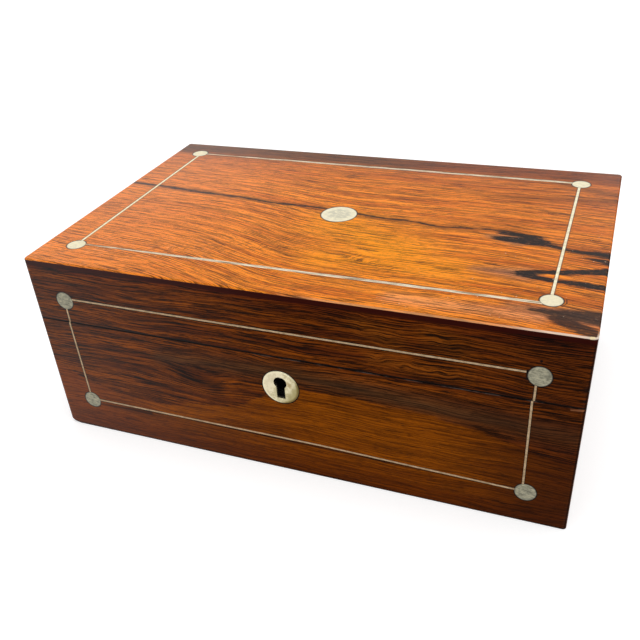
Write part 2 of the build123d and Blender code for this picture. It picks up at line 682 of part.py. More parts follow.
def base_parts(form):
    screws = rim_screws(-RIM_GAP / 2, -rim_normal())
    boards = walls(level(FLOOR), BASE_WALL_TOP, 3, 2)
    sheets = wall_veneers(level(BAIZE_STAND), BASE_RIM, form)
    facings = rim_facings(BASE_WALL_TOP, BASE_RIM)
    baize_x, baize_y = OUT_X - BAIZE_INSET, OUT_Y - BAIZE_INSET
    baize = block((-baize_x, baize_x), (-baize_y, baize_y), (0, BAIZE))
    worn = worn_corner()
    long_wall = partition()
    dividers = [divider(side) for side in (-1, 1)]
    lines, roundels = front_inlay(LOWER_CORNERS, LOWER_LINES, level(0), BASE_RIM)
    plate = escutcheon()
    through_wall = (-DEPTH / 2, LOCK_FRONT)
    lock_seat = [lock_space(), lock_plate(), keyhole(through_wall, KEYHOLE_ROOM)]
    seats = leaf_seats(BASE_WALL_TOP, BASE_RIM) + [rim_strip(BASE_WALL_TOP, BASE_RIM)]
    facings = [f - seats - hinge_room() for f in facings]
    leaves = [hinge_leaf(side, BASE_WALL_TOP, BASE_RIM, {0, 2}, PIN_R) - screws for side in (-1, 1)]
    wood, skin = rail(BASE_FLAP_TOP, BASE_FLAP_TOP - FLAP)
    ledge_top = BASE_FLAP_TOP - FLAP - FLAP_SEAT
    ledges = flap_ledges(ledge_top, ledge_top - LEDGE, (PARTITION_Y + PARTITION, RAIL_Y))
    return {
        "underside_baize": baize - worn,
        "bottom_board": block((-OUT_X, OUT_X), (-OUT_Y, OUT_Y), (BAIZE_STAND, FLOOR)) - baize - worn,
        "base_front_board": boards["front"] - dividers - lock_seat - screws,
        "base_back_board": boards["back"] - hinge_room() - screws,
        "base_left_board": boards["left"] - long_wall,
        "base_right_board": boards["right"] - long_wall,
        "base_front_veneer": sheets["front"] - lines - roundels - plate - keyhole(through_wall, 0) - worn,
        "base_back_veneer": sheets["back"] - hinge_room(),
        "base_left_veneer": sheets["left"] - worn,
        "base_right_veneer": sheets["right"],
        "base_rim_facings": group(facings),
        "lower_front_stringing": group([lines]),
        "lower_front_roundels": group(roundels),
        "escutcheon": plate,
        "lock_case": lock_case(),
        "lock_selvedge": selvedge() - screws,
        "base_screws": group(screws),
        "base_hinge_leaves": group(leaves),
        "hinge_pins": group([hinge_pin(side) for side in (-1, 1)]),
        "long_partition": long_wall - dividers,
        "inkwell_dividers": group(dividers),
        "pen_tray": pen_tray(),
        "base_ledges": group(ledges + [tray_rest(side) for side in (-1, 1)]),
        "base_hinge_rail": wood,
        "base_rail_leather": skin,
        "left_inkwell": inkwell(-1),
        "right_inkwell": inkwell(1),
        "inkwell_collars": group([collar(side) for side in (-1, 1)]),
    }


def lid_parts(form):
    screws = rim_screws(RIM_GAP / 2, rim_normal())
    boards = walls(LID_WALL_FOOT, level(CEILING), 1, 2)
    sheets = wall_veneers(LID_RIM, level(VENEER_TOP), form)
    facings = rim_facings(LID_RIM, LID_WALL_FOOT)
    front_lines, front_roundels = front_inlay(UPPER_CORNERS, UPPER_LINES, LID_RIM, level(HEIGHT))
    lines, roundels, disc = top_inlay()
    keep = slide_keep()
    seats = leaf_seats(LID_RIM, LID_WALL_FOOT) + [rim_strip(LID_RIM, LID_WALL_FOOT)]
    facings = [f - seats - hinge_room() - keep for f in facings]
    leaves = [hinge_leaf(side, LID_RIM, LID_WALL_FOOT, {1}, PIN_R + PIN_CLEAR) - screws for side in (-1, 1)]
    wood, skin = rail(LID_FLAP_FACE, LID_FLAP_FACE + FLAP)
    ledge_foot = LID_FLAP_FACE + FLAP + FLAP_SEAT
    ledges = flap_ledges(ledge_foot, ledge_foot + LEDGE, (-IN_Y, RAIL_Y))
    front_ledge = (-IN_Y, -IN_Y + LEDGE)
    ledges.append(sheet((-IN_X + LEDGE, IN_X - LEDGE), front_ledge, ledge_foot, ledge_foot + LEDGE))
    top_veneer = block((-LENGTH / 2, LENGTH / 2), (-DEPTH / 2, DEPTH / 2), (VENEER_TOP, HEIGHT)) & form
    return {
        "lid_top_board": block((-OUT_X, OUT_X), (-OUT_Y, OUT_Y), (CEILING, VENEER_TOP)),
        "lid_front_board": boards["front"] - screws - keep,
        "lid_back_board": boards["back"] - hinge_room() - screws,
        "lid_left_board": boards["left"],
        "lid_right_board": boards["right"],
        "lid_top_veneer": top_veneer - lines - roundels - disc,
        "lid_front_veneer": sheets["front"] - front_lines - front_roundels,
        "lid_back_veneer": sheets["back"] - hinge_room(),
        "lid_left_veneer": sheets["left"],
        "lid_right_veneer": sheets["right"],
        "lid_rim_facings": group(facings),
        "top_stringing": group(lines),
        "top_roundels": group(roundels),
        "top_centre_disc": disc,
        "upper_front_stringing": group([front_lines]),
        "upper_front_roundels": group(front_roundels),
        "link_plate": link_plate() - screws - keep,
        "lid_screws": group(screws),
        "lid_hinge_leaves": group(leaves),
        "lid_ledges": group(ledges),
        "lid_hinge_rail": wood,
        "lid_rail_leather": skin,
    }


def moving_parts():
    base = (BASE_FREE_EDGE, BASE_FLAP_TOP, BASE_FLAP_TOP - FLAP)
    lid = (LID_FREE_EDGE, LID_FLAP_FACE, LID_FLAP_FACE + FLAP)
    return {
        "base_flap_board": flap_board(*base),
        "base_flap_leather": flap_leather(*base),
        "base_flap_ribbon": ribbon(),
        "lid_flap_board": flap_board(*lid) - slide(SLIDE_ROOM, BOLT_TRAVEL),
        "lid_flap_leather": flap_leather(*lid),
        "flap_bolt": flap_bolt(),
        "lock_bolt": lock_bolt(),
        "left_inkwell_cap": cap(-1),
        "right_inkwell_cap": cap(1),
    }


def main():
    os.makedirs("parts", exist_ok=True)
    form = envelope()
    parts = {**base_parts(form), **lid_parts(form), **moving_parts()}
    for name, shape in parts.items():
        export_step(shape, f"parts/{name}.step")
    print(len(parts), "parts")


main()
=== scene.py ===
import math
import random

import bmesh
import bpy
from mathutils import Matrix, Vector


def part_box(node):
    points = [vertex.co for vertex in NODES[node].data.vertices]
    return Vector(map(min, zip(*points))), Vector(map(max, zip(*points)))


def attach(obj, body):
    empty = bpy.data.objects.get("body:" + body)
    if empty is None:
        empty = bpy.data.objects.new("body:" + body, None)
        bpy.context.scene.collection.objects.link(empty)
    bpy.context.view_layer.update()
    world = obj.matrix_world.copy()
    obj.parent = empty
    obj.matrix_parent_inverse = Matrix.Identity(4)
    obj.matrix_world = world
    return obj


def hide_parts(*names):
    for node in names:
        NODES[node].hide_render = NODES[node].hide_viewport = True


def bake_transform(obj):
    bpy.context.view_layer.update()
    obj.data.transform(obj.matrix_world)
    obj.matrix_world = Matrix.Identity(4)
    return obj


# A rosewood writing slope, dressed around its CAD frame. Metres, in the frame's own coordinates:
# +X runs along the box, the keyhole faces -Y, +Z is up. Materials work in millimetres, because
# their texture place is scaled by MM.

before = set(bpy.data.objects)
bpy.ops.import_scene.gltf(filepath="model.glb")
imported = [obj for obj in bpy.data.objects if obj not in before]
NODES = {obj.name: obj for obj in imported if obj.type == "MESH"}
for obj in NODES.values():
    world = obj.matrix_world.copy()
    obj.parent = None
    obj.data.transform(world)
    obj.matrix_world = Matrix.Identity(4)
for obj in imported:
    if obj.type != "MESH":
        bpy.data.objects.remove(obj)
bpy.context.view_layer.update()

MM = 1000.0
PHOTO_SIDE = 640.0  # pixels of the square picture that the camera matches

# The camera, as the picture's perspective gives it
CAMERA_AT = Vector((0.1455, -0.3839, 0.2964))
CAMERA_TURN = (56.21, 3.53, 21.07)  # degrees about X, Y and Z
FOCAL_PIXELS = 763.4
CENTRE_PIXEL = (314.8, 348.8)
SENSOR = 36.0

# Light
SKY = 0.30
SUN = 2.2
SUN_SPREAD = 60.0
SUN_FROM = Vector((0.10, -0.10, 0.99))
SWEEP_TOP = (0.33, 0.45)  # rise of the directions in which the white sweep starts and ends to fade
FLOOR_GREY = 0.36  # as the object sees it; the camera sees the next two
FLOOR_WHITE = 0.66
FLOOR_GLOW = 0.52
FLOOR_SIDE = 12.0

# The lid's joint plane, about which the flaps are built, in millimetres
AXIS_Y = 95.4
AXIS_Z = 57.5
FRONT_JOINT = 77.0  # height of the joint at the keyhole face
HALF_DEPTH = 95.0
RISE = (FRONT_JOINT - AXIS_Z) / (AXIS_Y + HALF_DEPTH)


# --- Node graphs ---


class Look:
    """A material being built. Its methods add nodes and return their output socket."""

    def __init__(self, owner):
        if isinstance(owner, str):
            owner = bpy.data.materials.new(owner)
            owner.use_nodes = True
        self.material = owner
        self.tree = owner.node_tree
        self.tree.nodes.clear()
        place = self.node("TexCoord").outputs["Object"]
        self.place = self.vector_math("MULTIPLY", place, (MM, MM, MM))
        self.x, self.y, self.z = self.split(self.place)

    def node(self, kind, inputs=None, **settings):
        made = self.tree.nodes.new(f"ShaderNode{kind}")
        for name, value in settings.items():
            setattr(made, name, value)
        for socket, value in (inputs or {}).items():
            self.plug(made.inputs[socket], value)
        return made

    def plug(self, socket, value):
        if isinstance(value, bpy.types.NodeSocket):
            self.tree.links.new(value, socket)
        elif socket.type == "RGBA" and len(value) == 3:
            socket.default_value = (*value, 1.0)
        else:
            socket.default_value = value

    def math(self, operation, *values, clamp=False):
        made = self.node("Math", dict(enumerate(values)), operation=operation, use_clamp=clamp)
        return made.outputs[0]

    def vector_math(self, operation, *values):
        made = self.node("VectorMath", dict(enumerate(values)), operation=operation)
        return made.outputs["Value" if operation in ("DOT_PRODUCT", "LENGTH") else "Vector"]

    def add(self, *values):
        total = values[0]
        for value in values[1:]:
            total = self.math("ADD", total, value)
        return total

    def times(self, *values):
        product = values[0]
        for value in values[1:]:
            product = self.math("MULTIPLY", product, value)
        return product

    def most(self, *values):
        best = values[0]
        for value in values[1:]:
            best = self.math("MAXIMUM", best, value)
        return best

    def shade(self, value):
        """A grey as light as the value."""
        return self.vector(value, value, value)

    def minus(self, value, other):
        return self.math("SUBTRACT", value, other)

    def flip(self, value):
        return self.minus(1.0, value)

    def sway(self, value, *factors):
        """A noise value moved to lie evenly about 0, and scaled."""
        return self.times(self.minus(value, 0.5), *factors)

    def gap(self, value, other):
        return self.math("ABSOLUTE", self.minus(value, other))

    def reach(self, place, centre):
        """The distance of a place on a face from a point of it."""
        return self.vector_math("LENGTH", self.vector_math("SUBTRACT", place, (*centre, 0)))

    def split(self, vector):
        return self.node("SeparateXYZ", {0: vector}).outputs

    def vector(self, x, y, z=0.0):
        return self.node("CombineXYZ", {0: x, 1: y, 2: z}).outputs[0]

    def step(self, value, low, high, to_low=0.0, to_high=1.0):
        """Goes smoothly from to_low to to_high as value goes from low to high."""
        made = self.node("MapRange", {"Value": value, "From Min": low, "From Max": high,
                                      "To Min": to_low, "To Max": to_high}, interpolation_type="SMOOTHSTEP")
        return made.outputs["Result"]

    def noise(self, vector, detail=3.0, roughness=0.5):
        made = self.node("TexNoise", {"Vector": vector, "Scale": 1.0, "Detail": detail,
                                      "Roughness": roughness})
        return made.outputs["Fac"]

    def cloud(self, scale, **kind):
        """Noise alike in every direction, with features about 1 / scale millimetres in size."""
        return self.noise(self.vector_math("MULTIPLY", self.place, (scale, scale, scale)), **kind)

    def grain(self, u, v, length, width, seed=0.0, **kind):
        """Noise drawn out along u: its features are about length by width millimetres."""
        return self.noise(self.vector(self.times(u, 1 / length), self.times(v, 1 / width), seed), **kind)

    def tint(self, factor, low, high, blend="MIX"):
        made = self.node("Mix", {0: factor, 6: low, 7: high}, data_type="RGBA", blend_type=blend)
        return made.outputs[2]

    def ramp(self, value, stops):
        made = self.node("ValToRGB", {0: value})
        elements = made.color_ramp.elements
        while len(elements) < len(stops):
            elements.new(0.5)
        for element, (at, colour) in zip(elements, stops):
            element.position = at
            element.color = (*colour, 1.0)
        return made.outputs[0]

    def curve(self, value, low, high, points):
        """A smooth curve through given (x, y) points, all between low and high."""
        span = high - low
        inside = self.math("DIVIDE", self.minus(value, low), span)
        made = self.node("FloatCurve", {1: inside})
        line = made.mapping.curves[0]
        while len(line.points) < len(points):
            line.points.new(0.5, 0.5)
        for point, (x, y) in zip(line.points, points):
            point.location = ((x - low) / span, (y - low) / span)
        made.mapping.update()
        return self.add(self.times(made.outputs[0], span), low)

    def stroke(self, place, start, end, start_width, end_width, soft):
        """1 inside a straight stroke that tapers from one width to another, and 0 away from it."""
        a, b = Vector((*start, 0)), Vector((*end, 0))
        along = b - a
        offset = self.vector_math("SUBTRACT", place, a)
        share = self.vector_math("DOT_PRODUCT", offset, along)
        share = self.math("DIVIDE", share, along.length_squared, clamp=True)
        nearest = self.node("VectorMath", {0: along, "Scale": share}, operation="SCALE").outputs["Vector"]
        distance = self.vector_math("LENGTH", self.vector_math("SUBTRACT", offset, nearest))
        half = self.add(self.times(share, (end_width - start_width) / 2), start_width / 2)
        return self.step(self.minus(distance, half), soft, -soft)

    def strokes(self, place, *each):
        return self.most(*(self.stroke(place, *one) for one in each))

    def bump(self, height, distance, strength=1.0):
        return self.node("Bump", {"Height": height, "Distance": distance, "Strength": strength}).outputs[0]

    def finish(self, **inputs):
        """Closes the graph with a Principled shader and returns the material."""
        named = {name.replace("_", " "): value for name, value in inputs.items()}
        shader = self.node("BsdfPrincipled", named)
        self.node("OutputMaterial", {"Surface": shader.outputs[0]})
        return self.material


# --- Rosewood ---

# Given curves on the lid's top and on the keyhole face, in millimetres
VEIN = [(-160, 18), (-130, 16), (-112, 14.2), (-86, 11.2), (-66, 10.2), (-44, 7.2), (-12, 6.0), (12, 2.8),
        (28, 0.8), (48, -0.2), (56, -2.2), (72, -1.8), (98, -0.8), (106, -4.8), (114, -11.0), (128, -15.5),
        (160, -18.5)]
TOP_FALL = [(-160, 18), (-122, 14), (-76, 8), (-40, -4), (-12, -15), (28, -20), (80, -21), (110, -23),
            (160, -30)]
DARK_EDGE = [(-160, 50), (-148, 46), (-126, 37), (-96, 30), (-72, 31), (-56, 35), (-32, 39), (-16, 47),
             (-8, 52), (0, 57), (14, 59), (48, 59), (78, 57), (108, 53), (128, 47), (160, 42)]
CURVE_END = 160.0  # how far to each side the given curves run
ROUNDEL = 5.4  # radii of the corner discs, of the disc in the lid's middle and of the keyhole plate
CENTRE_DISC = 10.5
KEY_PLATE = 10.4
GRIME = 0.45  # width of the dark line in the joint round an inlay
# near black: for the dark vein, dirt and dark joints in the wood, and for painted shade in the keyhole, the
# screw slots and the joint between lid and base
NEAR_BLACK = (0.010, 0.006, 0.005)
PINE = (0.55, 0.36, 0.17), (0.36, 0.20, 0.08)
STEEL = (0.52, 0.51, 0.49), (0.30, 0.27, 0.24)
GILT_LINES = ((2.2, 0.8), (3.6, 0.3), (7.4, 0.3))  # place in from the leather's edge, and width
GILT_DOTS = 5.5
GILT_PITCH = 3.0
SCREW_SLOT = (5.2, 0.7)  # length and width
KEYHOLE = (-0.9, 58.0)  # middle of the keyhole, along the face and up it
FRONT_STRING = -71.2  # y of the top's front long string
STRING_SPACING = 147.1  # how far behind it the back one lies at mid length, and how much it is turned
STRING_TURN = -0.0054
STRING_MIDDLE = 2.4  # y half way between them, and the distance from it where the long strings begin
LONG_RUN = (72.0, 72.6)


def islands(name):
    """The separate solids of a node, each as the list of its corner points in millimetres."""
    mesh = bmesh.new()
    mesh.from_mesh(NODES[name].data)
    bmesh.ops.remove_doubles(mesh, verts=mesh.verts, dist=1e-6)
    left = set(mesh.verts)
    found = []
    while left:
        solid, edge = [], [left.pop()]
        while edge:
            vert = edge.pop()
            solid.append(vert.co * MM)
            for link in vert.link_edges:
                other = link.other_vert(vert)
                if other in left:
                    left.remove(other)
                    edge.append(other)
        found.append(solid)
    mesh.free()
    return sorted(found, key=lambda points: tuple(round(value, 2) for value in middle(points)))


def middle(points):
    """The middle of the box round some points."""
    return Vector((min(p[i] for p in points) + max(p[i] for p in points)) / 2 for i in range(3))


def span(points, k):
    return max(p[k] for p in points) - min(p[k] for p in points)


def ends(points, j):
    """The middles, on x and the axis j, of the two ends of a long thin solid."""
    axis = max((0, j), key=lambda k: span(points, k))
    low, high = min(p[axis] for p in points), max(p[axis] for p in points)
    near = middle([p for p in points if p[axis] < low + 1.5])
    far = middle([p for p in points if p[axis] > high - 1.5])
    return (near[0], near[j]), (far[0], far[j])


def disc(look, place, centre, radius, soft):
    """1 inside a round spot and 0 outside it."""
    return look.step(look.reach(place, centre), radius + soft, radius - soft)


def grime(look, place, j, lines, discs):
    """The dark joints round strings, and those round discs, on a face along x and the axis j."""
    round_lines, round_discs = [], []
    for name in lines:
        for points in islands(name):
            for start, end in runs(points, j):
                width = thickness(points, j) + 2 * GRIME
                round_lines.append(look.stroke(place, start, end, width, width, 0.35))
    for name, radius in discs:
        for points in islands(name):
            centre = middle(points)
            round_discs.append(disc(look, place, (centre[0], centre[j]), radius + GRIME, 0.25))
    return look.most(*round_lines), look.most(*round_discs)


def thickness(points, j):
    """How wide a string is, measured at its low end."""
    axis = max((0, j), key=lambda k: span(points, k))
    other = j - axis
    low = min(p[axis] for p in points)
    end = [p[other] for p in points if p[axis] < low + 0.3]
    return max(end) - min(end)


def runs(points, j):
    """The straight runs of one inlaid line, which has square bends."""
    if min(span(points, k) for k in (0, j)) < 6.0:
        return [ends(points, j)]
    level_run = []
    for side in (min, max):
        edge = side(p[0] for p in points)
        level_run.append([p for p in points if abs(p[0] - edge) < 2.0])
    return [ends(part, j) for part in level_run]


def marks(look, u, bent, seed, line_size=(24.0, 0.95), dash_size=(11.0, 1.0), wander=2.4):
    """Rosewood's markings along the grain: broad streaks, fine lines, dark dashes and open pores."""
    ripple = look.grain(u, bent, 34.0, 10.0, seed + 0.7, detail=3.0)
    bent = look.add(bent, look.sway(ripple, wander))
    streak = look.grain(u, bent, 90.0, 5.0, seed + 3.1, detail=4.0, roughness=0.6)
    line = look.grain(u, bent, *line_size, seed + 7.7, detail=5.0, roughness=0.66)
    dash = look.grain(u, bent, *dash_size, seed + 19.1, detail=4.0, roughness=0.7)
    pore = look.grain(u, bent, 4.5, 0.42, seed + 11.3, detail=2.0, roughness=0.6)
    return streak, line, dash, look.step(pore, 0.53, 0.68)


def turned(look, u, v, degrees):
    """The coordinates along and across a direction that lies at an angle to u."""
    c, s = math.cos(math.radians(degrees)), math.sin(math.radians(degrees))
    along = look.add(look.times(u, c), look.times(v, s))
    across = look.minus(look.times(v, c), look.times(u, s))
    return along, across


def polish(look, colour, shine, height, specular):
    """French polish over veneer: a soft gloss with the pores just showing, rubbed dull on the edges."""
    normal = look.bump(height, 0.00005, 0.5)
    faces = look.vector_math("ABSOLUTE", look.node("TexCoord").outputs["Normal"])
    flat = look.split(faces)
    flat = look.step(look.most(flat[0], flat[1], flat[2]), 0.82, 0.97)
    rough = look.step(flat, 0.0, 1.0, 0.85, 0.42)
    shine = look.times(shine, flat)
    return look.finish(Base_Color=colour, Roughness=rough, Specular_IOR_Level=specular, Coat_Weight=shine,
                       Coat_Roughness=0.12, Normal=normal, Coat_Normal=look.bump(height, 0.00002, 0.4))


def shaded(look, colour, *factors):
    """A colour darkened or lightened by every factor."""
    return look.tint(1.0, colour, look.shade(look.times(*factors)), "MULTIPLY")


def top_ground(look, here, streak, line, left, golden):
    """The orange ground of the top, golden right of the middle and brown at the back, with a painted sheen
    near the front right and greyish-brown patches by the dark flames that are partly painted sheen.
    """
    u, v = look.x, look.y
    ground = look.tint(look.step(streak, 0.36, 0.58), (0.68, 0.155, 0.011), (1.0, 0.290, 0.020))
    ground = look.tint(look.times(golden, 0.85), ground, (1.0, 0.335, 0.001))
    ground = look.tint(look.times(left, 0.75), ground, (0.96, 0.262, 0.036))
    right = look.step(look.add(u, look.times(v, 0.8)), 30, 140)
    ground = look.tint(look.times(right, 0.36), ground, (0.66, 0.165, 0.020))
    ground = look.tint(look.step(v, 20, 76, 0.0, 0.40), ground, (0.52, 0.105, 0.012))
    # painted sheen: a pale band near the top's front right, standing for a soft reflection in the polish
    painted_sheen = look.stroke(here, (56, -84), (124, -84), 8, 8, 5)
    ground = look.tint(look.times(painted_sheen, 0.40), ground, (1.0, 0.46, 0.22))
    # greyish-brown patches by the dark flames: partly the wood's colour, partly a painted sheen on the polish
    umber_and_sheen = look.strokes(here, ((110, -77), (156, -80), 3, 16, 5), ((88, -46), (112, -46), 3, 12, 5),
                         ((88, -8), (104, -10), 3, 12, 4))
    ground = look.tint(look.times(umber_and_sheen, 0.66), ground, (0.34, 0.180, 0.108))
    smoke = look.grain(u, v, 60.0, 9.0, 47.0, detail=4.0)
    back = look.step(look.add(v, look.times(line, 16.0), look.times(smoke, 14.0)), 85, 99)
    brown = look.tint(look.step(u, -20, 70), (0.125, 0.038, 0.008), (0.24, 0.050, 0.008))
    return look.tint(look.times(back, 0.9), ground, brown)


def top_plumes(look, here):
    """Swept figure at the top's front left: dark plumes, and pale dry streaks."""
    u, v = look.x, look.y
    along, across = turned(look, u, v, 38.0)
    swept = look.grain(u, v, 30.0, 14.0, 63.0, detail=2.0)
    across = look.add(across, look.sway(swept, 16.0))
    feather = look.step(look.grain(along, across, 12.0, 1.4, 61.0, detail=4.0, roughness=0.7), 0.50, 0.58)
    feathered = look.most(look.times(look.stroke(here, (-84, -66), (-14, -42), 8, 18, 16), 0.8),
                          look.times(look.stroke(here, (-90, -84), (0, -84), 6, 8, 8), 0.5),
                          look.stroke(here, (22, -48), (48, -58), 9, 7, 6))
    plumes = look.step(look.times(feather, feathered, look.step(v, -91, -86)), 0.0, 1.0, 1.0, 0.26)
    dry = look.step(look.grain(along, across, 7.0, 0.8, 83.0, detail=3.0, roughness=0.7), 0.54, 0.66)
    return plumes, look.times(dry, look.stroke(here, (-150, -88), (-60, -60), 30, 24, 20))


def top_flames(look, line, edge, place):
    """The black flames at the top's right, with ragged ends along the grain."""
    near = look.vector(look.add(look.x, look.sway(line, 12.0)), edge)
    low = look.strokes(near, ((120, -78), (160, -79), 3, 15, 1.3), ((132, -83), (152, -94), 9, 7, 1.3))
    flames = look.most(
        look.strokes(place, ((92, -2), (112, -5), 2.5, 7, 0.9), ((91, -10), (116, -10), 4.0, 10, 0.9),
                     ((114, -9), (130, -15), 6, 2.5, 0.9)),
        look.strokes(near, ((126, -15), (160, -18), 2.0, 8, 0.7), ((136, -22), (160, -26), 0.5, 9, 0.7),
                     ((110, -45), (128, -40), 5.0, 4.5, 0.6), ((128, -40), (160, -32), 4.5, 9.0, 0.6),
                     ((110, -46), (128, -49.5), 4.5, 4.0, 0.6), ((128, -49.5), (160, -51), 4.0, 6.5, 0.6)),
        look.times(low, 0.90))
    knot = look.grain(look.x, look.y, 3.0, 1.2, 15.0, detail=4.0, roughness=0.7)
    return look.times(flames, look.step(knot, 0.36, 0.48, 0.80, 0.99))


def top_stains(look, place):
    """Long soft stains that follow the grain of the top."""
    return look.strokes(
        place, ((-76, 62), (-12, 34), 1.0, 1.6, 2.2), ((-12, 34), (40, 30), 1.6, 0.6, 2.0),
        ((-122, -2), (-52, -14), 0.8, 1.2, 1.6), ((-52, -14), (2, -30), 1.2, 0.8, 1.8),
        ((104, 33), (152, 22), 1.0, 2.4, 2.0), ((84, 46), (152, 52), 2.0, 9.0, 6.0),
        ((112, 74), (152, 60), 3.0, 8.0, 6.0), ((-150, -20), (-112, -22), 1.6, 0.6, 1.6))


def top_cracks(look, here, place):
    bent = look.strokes(here, ((134.0, -65.5), (134.4, -69.0), 0.5, 0.7, 0.3),
                        ((134.4, -69.0), (132.6, -72.6), 0.7, 0.4, 0.3))
    return look.most(look.stroke(place, (-131.5, -78), (-131.0, -95), 0.6, 0.3, 0.3), bent)


def top_edges(look, here, colour, line):
    """Dark sides of the top's veneer, with painted highlights on its front arris towards the right: a peach
    line, a thin white line near the right end and a gold-white glint at the corner.
    """
    u, v = look.x, look.y
    upright = look.split(look.node("TexCoord").outputs["Normal"])[2]
    arris = look.times(look.step(upright, 0.97, 0.85), look.step(upright, 0.30, 0.62))
    front_edge = look.times(arris, look.step(v, -85, -92))
    # painted highlight: a peach line along the front arris, from a little right of the middle
    rubbed_and_highlight = look.times(front_edge, look.step(look.add(u, look.times(line, 60.0)), 20, 60))
    thin = look.times(look.step(upright, 0.90, 0.80), look.step(upright, 0.45, 0.62), look.step(v, -90, -93))
    # painted highlight: a thin white line on the arris near the right end
    white_highlight = look.times(thin, look.step(look.add(u, look.times(line, 16.0)), 112, 140, 0.0, 0.6))
    colour = look.tint(look.step(upright, 0.72, 0.55), colour, (0.060, 0.005, 0.003))
    colour = look.tint(look.times(rubbed_and_highlight, 0.45), colour, (1.0, 0.50, 0.24))
    colour = look.tint(white_highlight, colour, (1.0, 0.92, 0.80))
    # painted highlight: a gold-white glint at the front right corner
    painted_spot = look.stroke(here, (147.0, -94.6), (148.2, -94.4), 1.0, 0.8, 0.4)
    return look.tint(look.times(painted_spot, 0.9), colour, (1.0, 0.80, 0.45))


def top_rosewood():
    """The lid's top: an orange ground with a thin black vein, a golden patch and dark flames."""
    look = Look("rosewood_top")
    u, v = look.x, look.y
    here = look.vector(u, v)
    fall = look.curve(u, -CURVE_END, CURVE_END, TOP_FALL)
    bent = look.minus(v, look.times(fall, look.step(v, 95, -60, 0.1, 0.9)))
    streak, line, dash, pore = marks(look, u, bent, 1.0, (40.0, 0.78), (22.0, 0.74))

    golden = look.strokes(here, ((4, -12), (44, -38), 26, 40, 24), ((10, -54), (76, -50), 14, 16, 18))
    left = look.step(u, 0, -120)
    calm = look.most(look.times(left, 0.5), look.times(golden, 0.7))
    fine = look.tint(calm, look.shade(look.step(line, 0.36, 0.56, 0.46, 1.12)),
                     look.shade(look.step(line, 0.34, 0.60, 0.80, 1.12)))
    dashes = look.step(dash, 0.53, 0.59, 1.0, 0.22)
    pores = look.step(pore, 0.0, 1.0, 1.0, 0.54)
    plumes, dry = top_plumes(look, here)
    ground = top_ground(look, here, streak, line, left, golden)
    ground = look.tint(look.times(dry, 0.42), ground, (1.0, 0.52, 0.30))
    ground = shaded(look, ground, look.split(fine)[0], dashes, pores, plumes)

    wobble = look.grain(u, v, 11.0, 2.6, 5.5, detail=4.0, roughness=0.65)
    edge = look.add(v, look.sway(wobble, 6.0))
    off = look.gap(edge, look.curve(u, -CURVE_END, CURVE_END, VEIN))
    vein = look.step(off, look.step(u, -150, 60, 2.6, 1.6), 0.1)
    place = look.vector(look.add(u, look.sway(line, 30.0)), edge)
    ground = shaded(look, ground, look.step(off, 6.0, 0.5, 1.0, 0.70))
    ground = shaded(look, ground, look.step(top_stains(look, place), 0.0, 1.0, 1.0, 0.52))
    inlaid = [("top_roundels", ROUNDEL), ("top_centre_disc", CENTRE_DISC)]
    lines, discs = grime(look, here, 1, ["top_stringing"], inlaid)
    dark = look.most(look.times(vein, 0.97), top_flames(look, line, edge, place), look.times(lines, 0.62),
                     look.times(discs, 0.95), look.times(top_cracks(look, here, place), 0.8))
    colour = look.tint(dark, ground, NEAR_BLACK)
    # painted glints: small pale specks on the polish towards the front right
    glint_specks = look.step(look.cloud(0.9, detail=1.0), 0.77, 0.80)
    glint_specks = look.times(glint_specks, look.step(look.add(u, look.times(v, -1.0)), 60, 170))
    colour = look.tint(look.times(glint_specks, 0.7), colour, (1.0, 0.86, 0.66))
    colour = top_edges(look, here, colour, line)
    height = look.flip(look.most(pore, look.times(dark, 0.3)))
    shine = look.most(look.step(u, 10, -150, 0.04, 0.38), look.step(v, 20, 95, 0.0, 0.16),
                      look.step(u, 90, 150, 0.0, 0.30))
    return polish(look, colour, shine, height, 0.12)


def front_face(name, seed):
    """Starts a material for the keyhole face: its graph, the place on the face and the bent grain."""
    look = Look(name)
    wave = look.grain(look.x, look.z, 70.0, 24.0, seed + 0.3, detail=2.0)
    return look, look.vector(look.x, look.z), look.add(look.z, look.sway(wave, 9.0))


def front_marks(look, bent, seed):
    """The keyhole face's markings, its dark ground, and how its lines and dashes darken that."""
    found = marks(look, look.x, bent, seed, (36.0, 0.6), (24.0, 0.75), 1.2)
    streak, line, dash, _ = found
    ground = look.tint(look.step(streak, 0.34, 0.62), (0.125, 0.024, 0.003), (0.32, 0.071, 0.004))
    fine = look.step(line, 0.39, 0.57, 0.20, 1.46)
    inks = look.step(dash, 0.50, 0.58, 1.0, 0.10)
    return found, ground, fine, inks


def front_dirt_and_shadow(look, here, ground, factors, half, discs, spots):
    """Darkens the face by its factors and to the right, adds dirt, and blackens the spots, which on the lid
    include a painted shadow along the joint. Also returns the rings of dirt.
    """
    ground = look.tint(look.step(look.x, 60, 150, 0.0, 0.55), ground, (0.08, 0.015, 0.003))
    colour = shaded(look, ground, *factors)
    dirt = look.most(look.step(look.x, 148.4, 149.4), look.step(look.z, 1.8, 0.7))
    colour = look.tint(look.times(dirt, 0.75), colour, NEAR_BLACK)
    lines, rings = grime(look, here, 2, [f"{half}_front_stringing"], discs)
    blots = look.most(look.times(lines, 0.75), look.times(rings, 0.97), *spots)
    return look.tint(blots, colour, NEAR_BLACK), rings


def front_polish(look, colour, pore, rings):
    shine = look.step(look.x, 20, -150, 0.0, 0.30)
    return polish(look, colour, shine, look.flip(look.most(pore, look.times(rings, 0.5))), 0.03)


